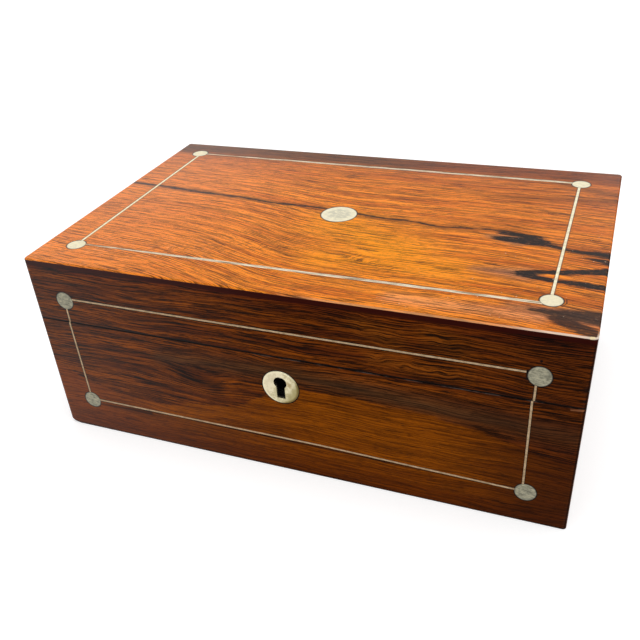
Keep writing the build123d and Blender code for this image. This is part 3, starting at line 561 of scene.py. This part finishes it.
def lid_front_rosewood():
    """The keyhole face of the lid: dark streaked veneer, with wavy grain right of the middle."""
    seed = 41.0
    look, here, bent = front_face("rosewood_lid_front", seed)
    u, v = look.x, look.z
    curled = look.strokes(here, ((44, 106), (60, 96), 9, 11, 7), ((78, 106), (92, 97), 9, 11, 7),
                          ((50, 86), (96, 84), 5, 6, 5))
    curl = look.grain(u, v, 12.0, 11.0, 71.0, detail=1.0)
    bent = look.add(bent, look.sway(curl, curled, 6.0))
    (_, line, _, pore), ground, fine, inks = front_marks(look, bent, seed)
    ground = look.tint(look.times(curled, 0.5), ground, (0.36, 0.100, 0.008))
    ground = look.tint(look.step(v, 106, 113, 0.0, 0.7), ground, (0.12, 0.011, 0.002))

    pores = look.step(pore, 0.0, 1.0, 1.0, 0.48)
    spots = [look.stroke(here, (122.9, 93.2), (123.0, 88.6), 1.6, 1.2, 0.5),
             disc(look, here, (128.2, 99.4), 0.7, 0.3),
             # painted shadow: a dark band along the lid's lower edge, at the joint with the base
             look.step(look.add(v, look.times(line, 0.8)), FRONT_JOINT + 1.40, FRONT_JOINT + 1.05)]
    discs = [("upper_front_roundels", ROUNDEL)]
    colour, rings = front_dirt_and_shadow(look, here, ground, (fine, inks, pores), "upper", discs, spots)
    red_edge = look.step(look.add(v, look.sway(line, 6.0)), 110.9, 111.9)
    colour = look.tint(look.times(red_edge, 0.95), colour, (0.045, 0.004, 0.002))
    return front_polish(look, colour, pore, rings)


def pale_ground(look, here, streak, wobble):
    """The base front's paler ground: yellow right of the middle, and dark low down and at the far right."""
    u, v = look.x, look.z
    pale = look.tint(look.step(streak, 0.30, 0.66), (0.26, 0.058, 0.002), (0.45, 0.108, 0.003))
    bright = look.stroke(here, (16, 44), (88, 40), 18, 18, 20)
    pale = look.tint(look.times(bright, 0.55), pale, (0.52, 0.130, 0.002))
    red = look.step(look.add(u, look.times(v, 0.6)), -40, -120)
    pale = look.tint(look.times(red, 0.7), pale, (0.34, 0.066, 0.010))
    low = look.step(look.add(v, look.times(wobble, 10.0)), 24, 2)
    pale = look.tint(look.times(low, 0.70), pale, (0.16, 0.026, 0.001))
    far = look.step(look.add(u, look.times(v, -0.3)), 92, 140)
    return look.tint(look.times(far, 0.75), pale, (0.11, 0.022, 0.002))


def base_joint(look, colour, line):
    """The painted shadow in the joint, the painted highlight on the arris just below it, and the chip along
    the top of the base's front.
    """
    u, v = look.x, look.z
    # painted shadow: a dark line in the joint under the lid
    joint_shadow = look.step(look.add(v, look.times(line, 0.6)), FRONT_JOINT - 0.25, FRONT_JOINT - 0.05)
    colour = look.tint(look.times(joint_shadow, 0.9), colour, NEAR_BLACK)
    # painted highlight: a pale line on the base's top arris, fading out to the left
    joint_arris_highlight = look.times(look.step(v, FRONT_JOINT - 0.50, FRONT_JOINT - 0.30),
                     look.step(look.grain(u, v, 8.0, 50.0, 91.0), 0.46, 0.66), look.step(u, -60, 10))
    colour = look.tint(look.times(joint_arris_highlight, 0.26), colour, (0.60, 0.44, 0.38))
    chip = look.stroke(look.vector(u, v), (143.5, 75.6), (148.5, 76.2), 0.7, 1.2, 0.4)
    return look.tint(look.times(chip, 0.6), colour, (0.60, 0.22, 0.09))


def base_front_rosewood():
    """The keyhole face of the base: dark veneer above a wavy edge, and a paler ground below it."""
    seed = 57.0
    look, here, bent = front_face("rosewood_base_front", seed)
    u, v = look.x, look.z
    eye = look.vector(look.times(look.add(u, 49.0), 0.45), look.add(v, -52.0))
    eye = look.vector_math("LENGTH", eye)
    bent = look.add(bent, look.step(eye, 14.0, 0.0, 0.0, 3.5))
    (streak, line, dash, pore), ground, fine, inks = front_marks(look, bent, seed)

    wobble = look.sway(look.grain(u, v, 22.0, 2.4, 2.2, detail=4.0, roughness=0.65))
    edge = look.curve(u, -CURVE_END, CURVE_END, DARK_EDGE)
    inside = look.step(look.minus(edge, look.add(v, look.times(wobble, 7.0))), -0.6, 1.0)
    ground = look.tint(inside, ground, pale_ground(look, here, streak, wobble))
    pale_fine = look.step(line, 0.37, 0.57, 0.52, 1.17)
    fine = look.split(look.tint(inside, look.vector(fine, 0, 0), look.vector(pale_fine, 0, 0)))[0]
    inks = look.most(inks, look.times(inside, look.step(inks, 0.16, 1.0, 0.56, 1.0)))
    dusk = look.strokes(here, ((-74, 64), (10, 68), 6, 9, 7), ((10, 67), (156, 59), 8, 13, 7))
    dusk = look.times(dusk, look.flip(inside))
    ground = look.tint(look.times(dusk, 0.90), ground, (0.098, 0.046, 0.018))
    fine = look.most(fine, look.times(dusk, 0.80))
    inks = look.most(inks, look.times(dusk, look.step(dash, 0.50, 0.62, 1.0, 0.45)))
    swirl = look.strokes(here, ((-60, 54), (-40, 50), 7, 8, 6), ((-122, 19.5), (-88, 21), 1.0, 3.0, 1.4))
    ground = shaded(look, ground, look.step(swirl, 0.0, 1.0, 1.0, 0.34))

    pores = look.step(pore, 0.0, 1.0, 1.0, 0.48)
    spots = [disc(look, here, (-127.0, 24.6), 0.7, 0.4),
             look.stroke(here, (-120.5, 22.4), (-121.5, 22.0), 1.2, 1.0, 0.5)]
    discs = [("lower_front_roundels", ROUNDEL), ("escutcheon", KEY_PLATE)]
    colour, rings = front_dirt_and_shadow(look, here, ground, (fine, inks, pores), "lower", discs, spots)
    return front_polish(look, base_joint(look, colour, line), pore, rings)


def side_rosewood():
    """Sides, back and rims, with the grain running level."""
    look = Look("rosewood_sides")
    u, v = look.add(look.x, look.y), look.z
    wave = look.grain(u, v, 110.0, 30.0, 20.0, detail=2.0)
    bent = look.add(v, look.sway(wave, 18.0))
    streak, line, dash, pore = marks(look, u, bent, 21.0, (36.0, 0.65), (24.0, 0.8), 1.4)
    ground = look.ramp(look.step(streak, 0.32, 0.66), [
        (0.0, (0.09, 0.021, 0.005)), (0.5, (0.24, 0.058, 0.008)), (1.0, (0.42, 0.105, 0.010))])
    fine = look.step(line, 0.38, 0.60, 0.42, 1.16)
    inks = look.step(look.grain(u, bent, 70.0, 2.2, 38.0, detail=5.0, roughness=0.65), 0.55, 0.64, 1.0, 0.26)
    dashes = look.step(dash, 0.52, 0.62, 1.0, 0.40)
    pores = look.step(pore, 0.0, 1.0, 1.0, 0.55)
    colour = shaded(look, ground, fine, dashes, inks, pores)
    # painted shadow: a dark line along the joint between lid and base, on the outer faces of the sides and
    # back
    plane = look.add(AXIS_Z + AXIS_Y * RISE, look.times(look.y, -RISE))
    from_joint = look.gap(look.z, plane)
    outside = look.most(look.step(look.math("ABSOLUTE", look.x), 149.2, 149.8), look.step(look.y, 94.2, 94.8))
    colour = look.tint(look.times(look.step(from_joint, 0.75, 0.35), outside, 0.85), colour, NEAR_BLACK)
    patchy = look.step(look.grain(u, v, 14.0, 5.0, 77.0, detail=4.0), 0.42, 0.62)
    worn = look.times(look.step(look.z, 9.0, 0.5), patchy)
    colour = look.tint(look.times(worn, 0.45), colour, (0.10, 0.030, 0.012))
    return polish(look, colour, 0.12, look.flip(pore), 0.12)


def keyhole_shade(look):
    """1 round the keyhole, outside the lock's back plate, where the keyhole's inside is painted black as
    shade.
    """
    painted_spot = disc(look, look.vector(look.x, look.z), KEYHOLE, 9.0, 1.0)
    return look.times(painted_spot, look.step(look.y, -86.2, -86.8))


def plain_wood(name, pale, deep):
    """Carcass pine and mahogany, with straight grain."""
    look = Look(name)
    streak, line, dash, pore = marks(look, look.x, look.add(look.y, look.z), 33.0)
    mixed = look.add(look.times(streak, 0.6), look.times(line, 0.4))
    colour = look.tint(look.step(mixed, 0.35, 0.62), deep, pale)
    colour = look.tint(look.most(look.times(pore, 0.4), look.step(dash, 0.56, 0.68, 0.0, 0.5)), colour, deep)
    # painted shade: the board round the keyhole is painted black
    if name == "keyhole_pine":
        colour = look.tint(keyhole_shade(look), colour, NEAR_BLACK)
    return look.finish(Base_Color=colour, Roughness=0.6, Normal=look.bump(look.flip(pore), 0.00008, 0.5))


def pearl(name, colour, shade, j, rings=(), worn=None, specular=0.6):
    """Worn mother-of-pearl: pale, cloudy and scratched, with dark rims and perhaps a worn middle."""
    look = Look(name)
    u, v = look.x, (look.x, look.y, look.z)[j]
    cloud = look.grain(u, v, 3.2, 2.2, 4.0, detail=5.0, roughness=0.7)
    scratch = look.grain(u, look.add(v, look.times(u, 0.12)), 5.0, 0.45, 9.0, detail=3.0, roughness=0.7)
    mixed = look.add(look.times(cloud, 0.55), look.times(scratch, 0.45))
    tone = look.tint(look.step(mixed, 0.38, 0.60), shade, colour)
    place = look.vector(u, v)
    for disc_name, radius in rings:
        for points in islands(disc_name):
            centre = middle(points)
            away = look.reach(place, (centre[0], centre[j]))
            if worn:
                rubbed_and_highlight = look.times(look.step(away, radius * 0.85, radius * 0.45),
                                    look.step(mixed, 0.62, 0.44))
                tone = look.tint(look.times(rubbed_and_highlight, 0.7), tone, worn)
            rim = look.times(look.step(away, radius - 0.5, radius - 0.1),
                             look.step(away, radius + 0.5, radius + 0.1))
            tone = look.tint(look.times(rim, 0.85), tone, (0.06, 0.048, 0.030))
    return look.finish(Base_Color=tone, Roughness=0.38, Specular_IOR_Level=specular,
                       Normal=look.bump(mixed, 0.00008, 0.4))


def top_strings():
    """The strings on the top: cream across it, and wide, grey and worn along it."""
    look = Look("stringing_top")
    u, v = look.x, look.y
    cloud = look.grain(u, v, 3.0, 2.0, 4.0, detail=4.0, roughness=0.7)
    cream = look.tint(look.step(cloud, 0.40, 0.60), (0.86, 0.74, 0.50), (1.0, 0.94, 0.68))
    thread = look.grain(u, v, 14.0, 0.5, 6.0, detail=3.0, roughness=0.7)
    grey = look.tint(look.step(thread, 0.40, 0.58), (0.30, 0.20, 0.11), (0.98, 0.86, 0.64))
    at_back = look.step(v, -1, 1)
    spacing = look.add(STRING_SPACING, look.times(u, STRING_TURN))
    off = look.gap(v, look.add(FRONT_STRING, look.times(at_back, spacing)))
    kept = look.add(look.step(u, -118, -40, 0.45, 1.15), look.sway(thread, 0.8))
    rubbed_away = look.step(look.minus(off, kept), -0.1, 0.2)
    grey = look.tint(rubbed_away, grey, (0.30, 0.085, 0.020))
    long_run = look.step(look.gap(v, STRING_MIDDLE), *LONG_RUN)
    return look.finish(Base_Color=look.tint(long_run, cream, grey), Roughness=0.5, Specular_IOR_Level=0.25,
                       Normal=look.bump(thread, 0.00008, 0.4))


def metal(name, colour, dull, roughness):
    """Old brass or steel with a soft patina."""
    look = Look(name)
    cloud = look.cloud(0.25, detail=5.0, roughness=0.65)
    fine = look.cloud(2.0, detail=2.0)
    tone = look.tint(look.step(cloud, 0.40, 0.62), dull, colour)
    rough = look.step(cloud, 0.35, 0.65, roughness + 0.15, roughness)
    # painted shade: the lock's steel seen through the keyhole is painted black and dull
    if name == "lock_steel":
        tone = look.tint(keyhole_shade(look), tone, NEAR_BLACK)
        rough = look.most(rough, look.times(keyhole_shade(look), 0.8))
    return look.finish(Base_Color=tone, Metallic=1.0, Roughness=rough, Normal=look.bump(fine, 0.00005, 0.3))


def screw_brass(node):
    """Brass screws, whose slots lie as the hand left them."""
    look = Look(f"{node}_brass")
    place = look.vector(look.x, look.y)
    turn = random.Random(node)
    slots = []
    for points in islands(node):
        centre = middle(points)
        angle = turn.uniform(0, math.pi)
        half = Vector((math.cos(angle), math.sin(angle))) * SCREW_SLOT[0] / 2
        start, end = Vector(centre[:2]) - half, Vector(centre[:2]) + half
        slots.append(look.stroke(place, start, end, SCREW_SLOT[1], SCREW_SLOT[1], 0.12))
    slot = look.most(*slots)
    cloud = look.cloud(0.4, detail=5.0, roughness=0.65)
    tone = look.tint(look.step(cloud, 0.40, 0.62), (0.44, 0.30, 0.12), (0.78, 0.58, 0.26))
    # painted shade: each slot is painted near black and dull, as the shade in its recess
    tone = look.tint(slot, tone, NEAR_BLACK)
    rough = look.step(slot, 0.0, 1.0, 0.32, 0.9)
    return look.finish(Base_Color=tone, Metallic=look.flip(slot), Roughness=rough,
                       Normal=look.bump(look.flip(slot), 0.0006, 1.0))


def escutcheon_brass():
    """The keyhole plate: rubbed pale, with painted light on its upper left and painted shade on its browner,
    greener lower right, as on a convex plate, and a painted highlight and a painted shadow on those parts of
    its rim.
    """
    look = Look("escutcheon_brass")
    place = look.vector(look.x, look.z)
    away = look.reach(place, KEYHOLE)
    cloud = look.cloud(0.30, detail=5.0, roughness=0.65)
    brush = look.grain(look.x, look.z, 1.0, 8.0, 3.0, detail=3.0)
    tone = look.tint(look.step(cloud, 0.40, 0.60), (0.48, 0.42, 0.25), (0.72, 0.65, 0.44))
    aslant = look.add(look.x, look.times(look.z, -0.6), KEYHOLE[1] * 0.6)
    # painted shade on the lower right side and painted light on the upper left side
    tone = look.tint(look.step(aslant, 3, 9, 0.0, 0.85), tone, (0.30, 0.25, 0.10))
    tone = look.tint(look.step(aslant, -1, -8, 0.0, 0.5), tone, (0.70, 0.62, 0.46))
    # painted highlight on the rim at the upper left
    rim_highlight = look.times(look.step(away, 8.9, 9.8), look.step(aslant, 5, -1), 0.7)
    tone = look.tint(rim_highlight, tone, (0.80, 0.74, 0.52))
    # painted shadow on the rim at the lower right
    rim_shadow = look.times(look.step(away, 8.6, 9.9), look.step(aslant, 3, 8), 0.9)
    tone = look.tint(rim_shadow, tone, (0.16, 0.11, 0.03))
    brown = look.stroke(place, (2.6, 62.0), (4.6, 60.0), 0.8, 1.6, 1.2)
    tone = look.tint(look.times(brown, 0.7), tone, (0.34, 0.22, 0.09))
    return look.finish(Base_Color=tone, Metallic=1.0, Roughness=look.step(brush, 0.3, 0.7, 0.34, 0.50),
                       Normal=look.bump(cloud, 0.0001, 0.4))


def leather(name, node=None):
    """Green skiver with a fine pebble, and on a flap a border of gilt lines and dots."""
    look = Look(name)
    cells = look.node("TexVoronoi", {"Vector": look.place, "Scale": 1.4}, feature="SMOOTH_F1")
    cells = cells.outputs["Distance"]
    cloud = look.cloud(0.03, detail=4.0)
    wear = look.cloud(0.12, detail=5.0, roughness=0.7)
    tone = look.tint(look.step(cloud, 0.35, 0.65), (0.028, 0.075, 0.042), (0.05, 0.12, 0.065))
    tone = look.tint(look.step(wear, 0.56, 0.74, 0.0, 0.5), tone, (0.13, 0.14, 0.075))
    if not node:
        return look.finish(Base_Color=tone, Roughness=0.55, Normal=look.bump(cells, 0.00012, 0.5))
    low, high = (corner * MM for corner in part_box(node))
    from_side = look.math("MINIMUM", look.minus(look.x, low[0]),
                          look.minus(high[0], look.x))
    from_front = look.minus(look.y, low[1])
    inward = look.math("MINIMUM", from_side, from_front)
    at_side = look.math("LESS_THAN", from_side, from_front)
    along = look.add(look.times(at_side, look.y), look.times(look.flip(at_side), look.x))
    gilt = [band(look, inward, at, width) for at, width in GILT_LINES]
    pitch = look.sway(look.math("FRACT", look.times(along, 1 / GILT_PITCH)))
    dot = look.vector(look.times(pitch, GILT_PITCH), look.minus(inward, GILT_DOTS))
    gilt.append(look.step(look.vector_math("LENGTH", dot), 0.75, 0.55))
    gilt = look.times(look.most(*gilt), look.step(wear, 0.68, 0.52, 0.35, 1.0))
    tone = look.tint(gilt, tone, (0.80, 0.52, 0.16))
    height = look.minus(look.times(cells, 0.6), look.times(gilt, 0.5))
    rough = look.step(gilt, 0.0, 1.0, 0.55, 0.32)
    return look.finish(Base_Color=tone, Metallic=look.times(gilt, 0.9), Roughness=rough,
                       Normal=look.bump(height, 0.00015, 0.6))


def band(look, value, at, width):
    """1 where the value is within half a width of a place."""
    return look.step(look.gap(value, at), width / 2 + 0.08, width / 2 - 0.08)


def ribbon_silk():
    """Ribbed silk, with fine cross threads and a firmer edge on each side."""
    look = Look("silk_ribbon")
    ribs = look.math("SINE", look.times(look.y, 2 * math.pi / 0.45))
    threads = look.math("SINE", look.times(look.x, 2 * math.pi / 0.35))
    fade = look.cloud(0.3, detail=3.0)
    tone = look.tint(look.step(fade, 0.35, 0.65), (0.20, 0.022, 0.022), (0.34, 0.050, 0.045))
    tone = shaded(look, tone, look.step(ribs, -1, 1, 0.72, 1.05))
    hem = look.step(look.math("ABSOLUTE", look.x), RIBBON_SIZE[0] / 2 - 1.0, RIBBON_SIZE[0] / 2 - 0.8)
    tone = look.tint(look.times(hem, 0.5), tone, (0.12, 0.012, 0.012))
    height = look.add(look.times(ribs, 0.5), look.times(threads, 0.25))
    return look.finish(Base_Color=tone, Roughness=0.45, Sheen_Weight=0.3,
                       Normal=look.bump(height, 0.00006, 0.6))


def cloth(name, colour, shade, scale):
    """Baize, by a fuzzy fine noise."""
    look = Look(name)
    fuzz = look.cloud(scale, detail=4.0, roughness=0.7)
    tone = look.tint(look.step(fuzz, 0.35, 0.65), shade, colour)
    return look.finish(Base_Color=tone, Roughness=0.95, Sheen_Weight=0.4, Normal=look.bump(fuzz, 0.0003, 0.6))


def glass():
    """Thick old bottle glass."""
    look = Look("bottle_glass")
    wave = look.cloud(0.12, detail=2.0)
    return look.finish(Base_Color=(0.86, 0.95, 0.92), Roughness=0.03, Transmission_Weight=1.0, IOR=1.5,
                       Normal=look.bump(wave, 0.0004, 0.3))


def dress(material, *names):
    for name in names:
        NODES[name].data.materials.clear()
        NODES[name].data.materials.append(material)


def ease(width, *names):
    """Rounds the sharp edges of some nodes, and shades their round faces smoothly."""
    for name in names:
        weld = NODES[name].modifiers.new("weld", "WELD")
        weld.merge_threshold = 1e-6
        bevel = NODES[name].modifiers.new("eased_edges", "BEVEL")
        bevel.width = width / MM
        bevel.segments = 2
        bevel.limit_method = "ANGLE"
        bevel.angle_limit = math.radians(25)
        bevel.harden_normals = True


def dress_frame():
    dress(top_rosewood(), "lid_top_veneer")
    dress(lid_front_rosewood(), "lid_front_veneer")
    dress(base_front_rosewood(), "base_front_veneer")
    dress(side_rosewood(), "base_left_veneer", "base_right_veneer", "base_back_veneer", "lid_left_veneer",
          "lid_right_veneer", "lid_back_veneer", "base_rim_facings", "lid_rim_facings")
    dress(plain_wood("keyhole_pine", *PINE), "base_front_board")
    dress(plain_wood("carcass_pine", *PINE),
          "bottom_board", "base_back_board", "base_left_board", "base_right_board",
          "lid_top_board", "lid_front_board", "lid_back_board", "lid_left_board", "lid_right_board")
    dress(plain_wood("mahogany", (0.34, 0.13, 0.05), (0.17, 0.055, 0.02)),
          "long_partition", "inkwell_dividers", "pen_tray", "base_ledges", "lid_ledges", "base_hinge_rail",
          "lid_hinge_rail", "base_flap_board", "lid_flap_board")
    dress(pearl("pearl_top", (1.0, 0.90, 0.62), (0.80, 0.72, 0.50), 1, [("top_roundels", ROUNDEL)]),
          "top_roundels")
    dress(pearl("pearl_disc", (1.0, 0.92, 0.66), (0.84, 0.76, 0.54), 1, [("top_centre_disc", CENTRE_DISC)],
                (0.52, 0.50, 0.38)), "top_centre_disc")
    dress(pearl("pearl_front", (0.72, 0.67, 0.46), (0.20, 0.19, 0.12), 2,
                [("upper_front_roundels", ROUNDEL), ("lower_front_roundels", ROUNDEL)]),
          "upper_front_roundels", "lower_front_roundels")
    dress(top_strings(), "top_stringing")
    dress(pearl("stringing_front", (0.98, 0.70, 0.42), (0.56, 0.37, 0.19), 2, specular=0.3),
          "upper_front_stringing", "lower_front_stringing")
    dress(escutcheon_brass(), "escutcheon")
    dress(metal("brass", (0.80, 0.60, 0.26), (0.48, 0.33, 0.13), 0.28), "lock_selvedge", "link_plate",
          "base_hinge_leaves", "lid_hinge_leaves", "hinge_pins", "flap_bolt",
          "inkwell_collars", "left_inkwell_cap", "right_inkwell_cap")
    for node in ("base_screws", "lid_screws"):
        dress(screw_brass(node), node)
    dress(metal("steel", *STEEL, 0.35), "lock_bolt")
    dress(metal("lock_steel", *STEEL, 0.35), "lock_case")
    dress(leather("rail_leather"), "base_rail_leather", "lid_rail_leather")
    for node in ("base_flap_leather", "lid_flap_leather"):
        dress(leather(node, node), node)
    dress(cloth("baize", (0.05, 0.13, 0.06), (0.02, 0.07, 0.03), 1.5), "underside_baize")
    dress(glass(), "left_inkwell", "right_inkwell")


# --- Ribbon and bending leather ---

FLAP_FACE = 1.2  # how far a flap's face lies from the joint plane
BEND_ROWS = (82.5, 80.0, 78.4, 77.6, 77.2, 76.95, 76.85, 76.75, 76.65, 76.55, 76.3, 75.9, 75.1, 73.5, 71.0)
STRIP_REACH = 130.4
STRIP_THICK = 0.3
RIBBON_SIZE = (10.0, 14.4, 0.3)
RIBBON_START = -49.3
RIBBON_NOTCH = 2.4


def face_height(y, side):
    """Height of a flap's face: the base's for side 1 and the lid's for side -1."""
    return AXIS_Z + (AXIS_Y - y) * RISE - side * FLAP_FACE * math.hypot(1.0, RISE)


def thin_piece(name, columns, rows, point, thick, side):
    """A closed thin mesh over a grid, given as its lower point for each column and row."""
    mesh = bmesh.new()
    layers = []
    for lift in (0.0, thick * side):
        layers.append([[mesh.verts.new(Vector(point(c, r)) / MM + Vector((0, 0, lift / MM))) for c in columns]
                       for r in rows])
    under, over = layers
    for r in range(len(rows) - 1):
        for c in range(len(columns) - 1):
            for layer in layers:
                mesh.faces.new((layer[r][c], layer[r][c + 1], layer[r + 1][c + 1], layer[r + 1][c]))
    last_r, last_c = len(rows) - 1, len(columns) - 1
    rim = [(0, c) for c in range(last_c)] + [(r, last_c) for r in range(last_r)]
    rim += [(last_r, c) for c in range(last_c, 0, -1)] + [(r, 0) for r in range(last_r, 0, -1)]
    for (r0, c0), (r1, c1) in zip(rim, rim[1:] + rim[:1]):
        mesh.faces.new((under[r0][c0], under[r1][c1], over[r1][c1], over[r0][c0]))
    bmesh.ops.recalc_face_normals(mesh, faces=mesh.faces)
    data = bpy.data.meshes.new(name)
    mesh.to_mesh(data)
    mesh.free()
    piece = bpy.data.objects.new(name, data)
    bpy.context.scene.collection.objects.link(piece)
    for face in data.polygons:
        face.use_smooth = True
    return piece


def bending_strip(name, side, skin):
    """The strip of skiver over the slit behind a flap."""
    columns = [STRIP_REACH * k / 30 for k in range(-30, 31)]

    def point(x, y):
        ruffle = 0.04 * math.sin(x * 0.31) + 0.03 * math.sin(x * 0.83 + y)
        return x, y, face_height(y, side) + side * (0.10 + ruffle)

    strip = thin_piece(name, columns, BEND_ROWS, point, STRIP_THICK, side)
    strip.data.materials.append(skin)
    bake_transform(strip)


def ribbon(silk):
    """A silk tab with a notched end, glued to the base flap's free edge, to lift the flap by."""
    width, length, thick = RIBBON_SIZE
    columns = [width * k / 10 for k in range(-5, 6)]
    rows = [k / 18 for k in range(19)]

    def point(x, share):
        reach = length - RIBBON_NOTCH * (1 - abs(x) / (width / 2))
        y = RIBBON_START + reach * share
        wave = 0.35 * math.sin(math.pi * share) ** 2 + 0.10 * math.sin(9.0 * share + 0.5) * share
        return x + 0.25 * math.sin(5.0 * share), y, face_height(y, 1) + 0.08 + wave + 0.02 * math.cos(x)

    tab = thin_piece("lifting_ribbon", columns, rows, point, thick, 1)
    tab.data.materials.append(silk)
    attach(tab, "base_flap")
    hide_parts("base_flap_ribbon")


def make_soft_pieces():
    skin = leather("bending_leather")
    bending_strip("base_bending_leather", 1, skin)
    bending_strip("lid_bending_leather", -1, skin)
    ribbon(ribbon_silk())


# --- Stage ---


def seen_ray(look):
    """1 for rays that see the scene directly, in a reflection or through glass."""
    path = look.node("LightPath").outputs
    return look.most(path["Is Camera Ray"], path["Is Glossy Ray"], path["Is Transmission Ray"])


def make_floor():
    """A white floor, which sends little light back on the object."""
    side = FLOOR_SIDE
    mesh = bpy.data.meshes.new("floor")
    corners = [(-side, -side, 0), (side, -side, 0), (side, side, 0), (-side, side, 0)]
    mesh.from_pydata(corners, [], [(0, 1, 2, 3)])
    floor = bpy.data.objects.new("floor", mesh)
    bpy.context.scene.collection.objects.link(floor)
    look = Look("floor")
    seen = seen_ray(look)
    dim = look.node("BsdfDiffuse", {"Color": (FLOOR_GREY,) * 3}).outputs[0]
    white = look.node("BsdfDiffuse", {"Color": (FLOOR_WHITE,) * 3}).outputs[0]
    glow = look.node("Emission", {"Color": (1, 1, 1), "Strength": FLOOR_GLOW}).outputs[0]
    white = look.node("AddShader", {0: white, 1: glow}).outputs[0]
    mixed = look.node("MixShader", {0: seen, 1: dim, 2: white}).outputs[0]
    look.node("OutputMaterial", {"Surface": mixed})
    mesh.materials.append(look.material)


def make_light():
    """A soft light overhead, in a dim room with a white sweep that the camera and reflections see."""
    world = bpy.data.worlds.new("studio")
    bpy.context.scene.world = world
    world.use_nodes = True
    sky = Look(world)
    height = sky.split(sky.node("TexCoord").outputs["Generated"])[2]
    path = sky.node("LightPath").outputs
    mirrored = sky.most(path["Is Glossy Ray"], path["Is Transmission Ray"])
    sweep = sky.times(mirrored, sky.step(height, SWEEP_TOP[1], SWEEP_TOP[0]))
    level = sky.step(sky.most(path["Is Camera Ray"], sweep), 0.0, 1.0, SKY, 1.0)
    background = sky.node("Background", {"Color": (1, 1, 1), "Strength": level}).outputs[0]
    sky.node("OutputWorld", {"Surface": background})
    sun = bpy.data.lights.new("overhead", "SUN")
    sun.energy = SUN
    sun.angle = math.radians(SUN_SPREAD)
    lamp = bpy.data.objects.new("overhead", sun)
    lamp.rotation_mode = "QUATERNION"
    lamp.rotation_quaternion = SUN_FROM.to_track_quat("Z", "Y")
    bpy.context.scene.collection.objects.link(lamp)


def make_camera():
    lens = bpy.data.cameras.new("camera")
    lens.sensor_width = SENSOR
    lens.lens = FOCAL_PIXELS * SENSOR / PHOTO_SIDE
    lens.shift_x = (PHOTO_SIDE / 2 - CENTRE_PIXEL[0]) / PHOTO_SIDE
    lens.shift_y = (CENTRE_PIXEL[1] - PHOTO_SIDE / 2) / PHOTO_SIDE
    camera = bpy.data.objects.new("camera", lens)
    camera.location = CAMERA_AT
    camera.rotation_euler = [math.radians(turn) for turn in CAMERA_TURN]
    bpy.context.scene.collection.objects.link(camera)
    bpy.context.scene.camera = camera


dress_frame()
make_soft_pieces()
ease(0.25, "lid_top_veneer", "lid_front_veneer", "base_front_veneer")
make_floor()
make_light()
make_camera()
bpy.context.scene.view_settings.view_transform = "Standard"
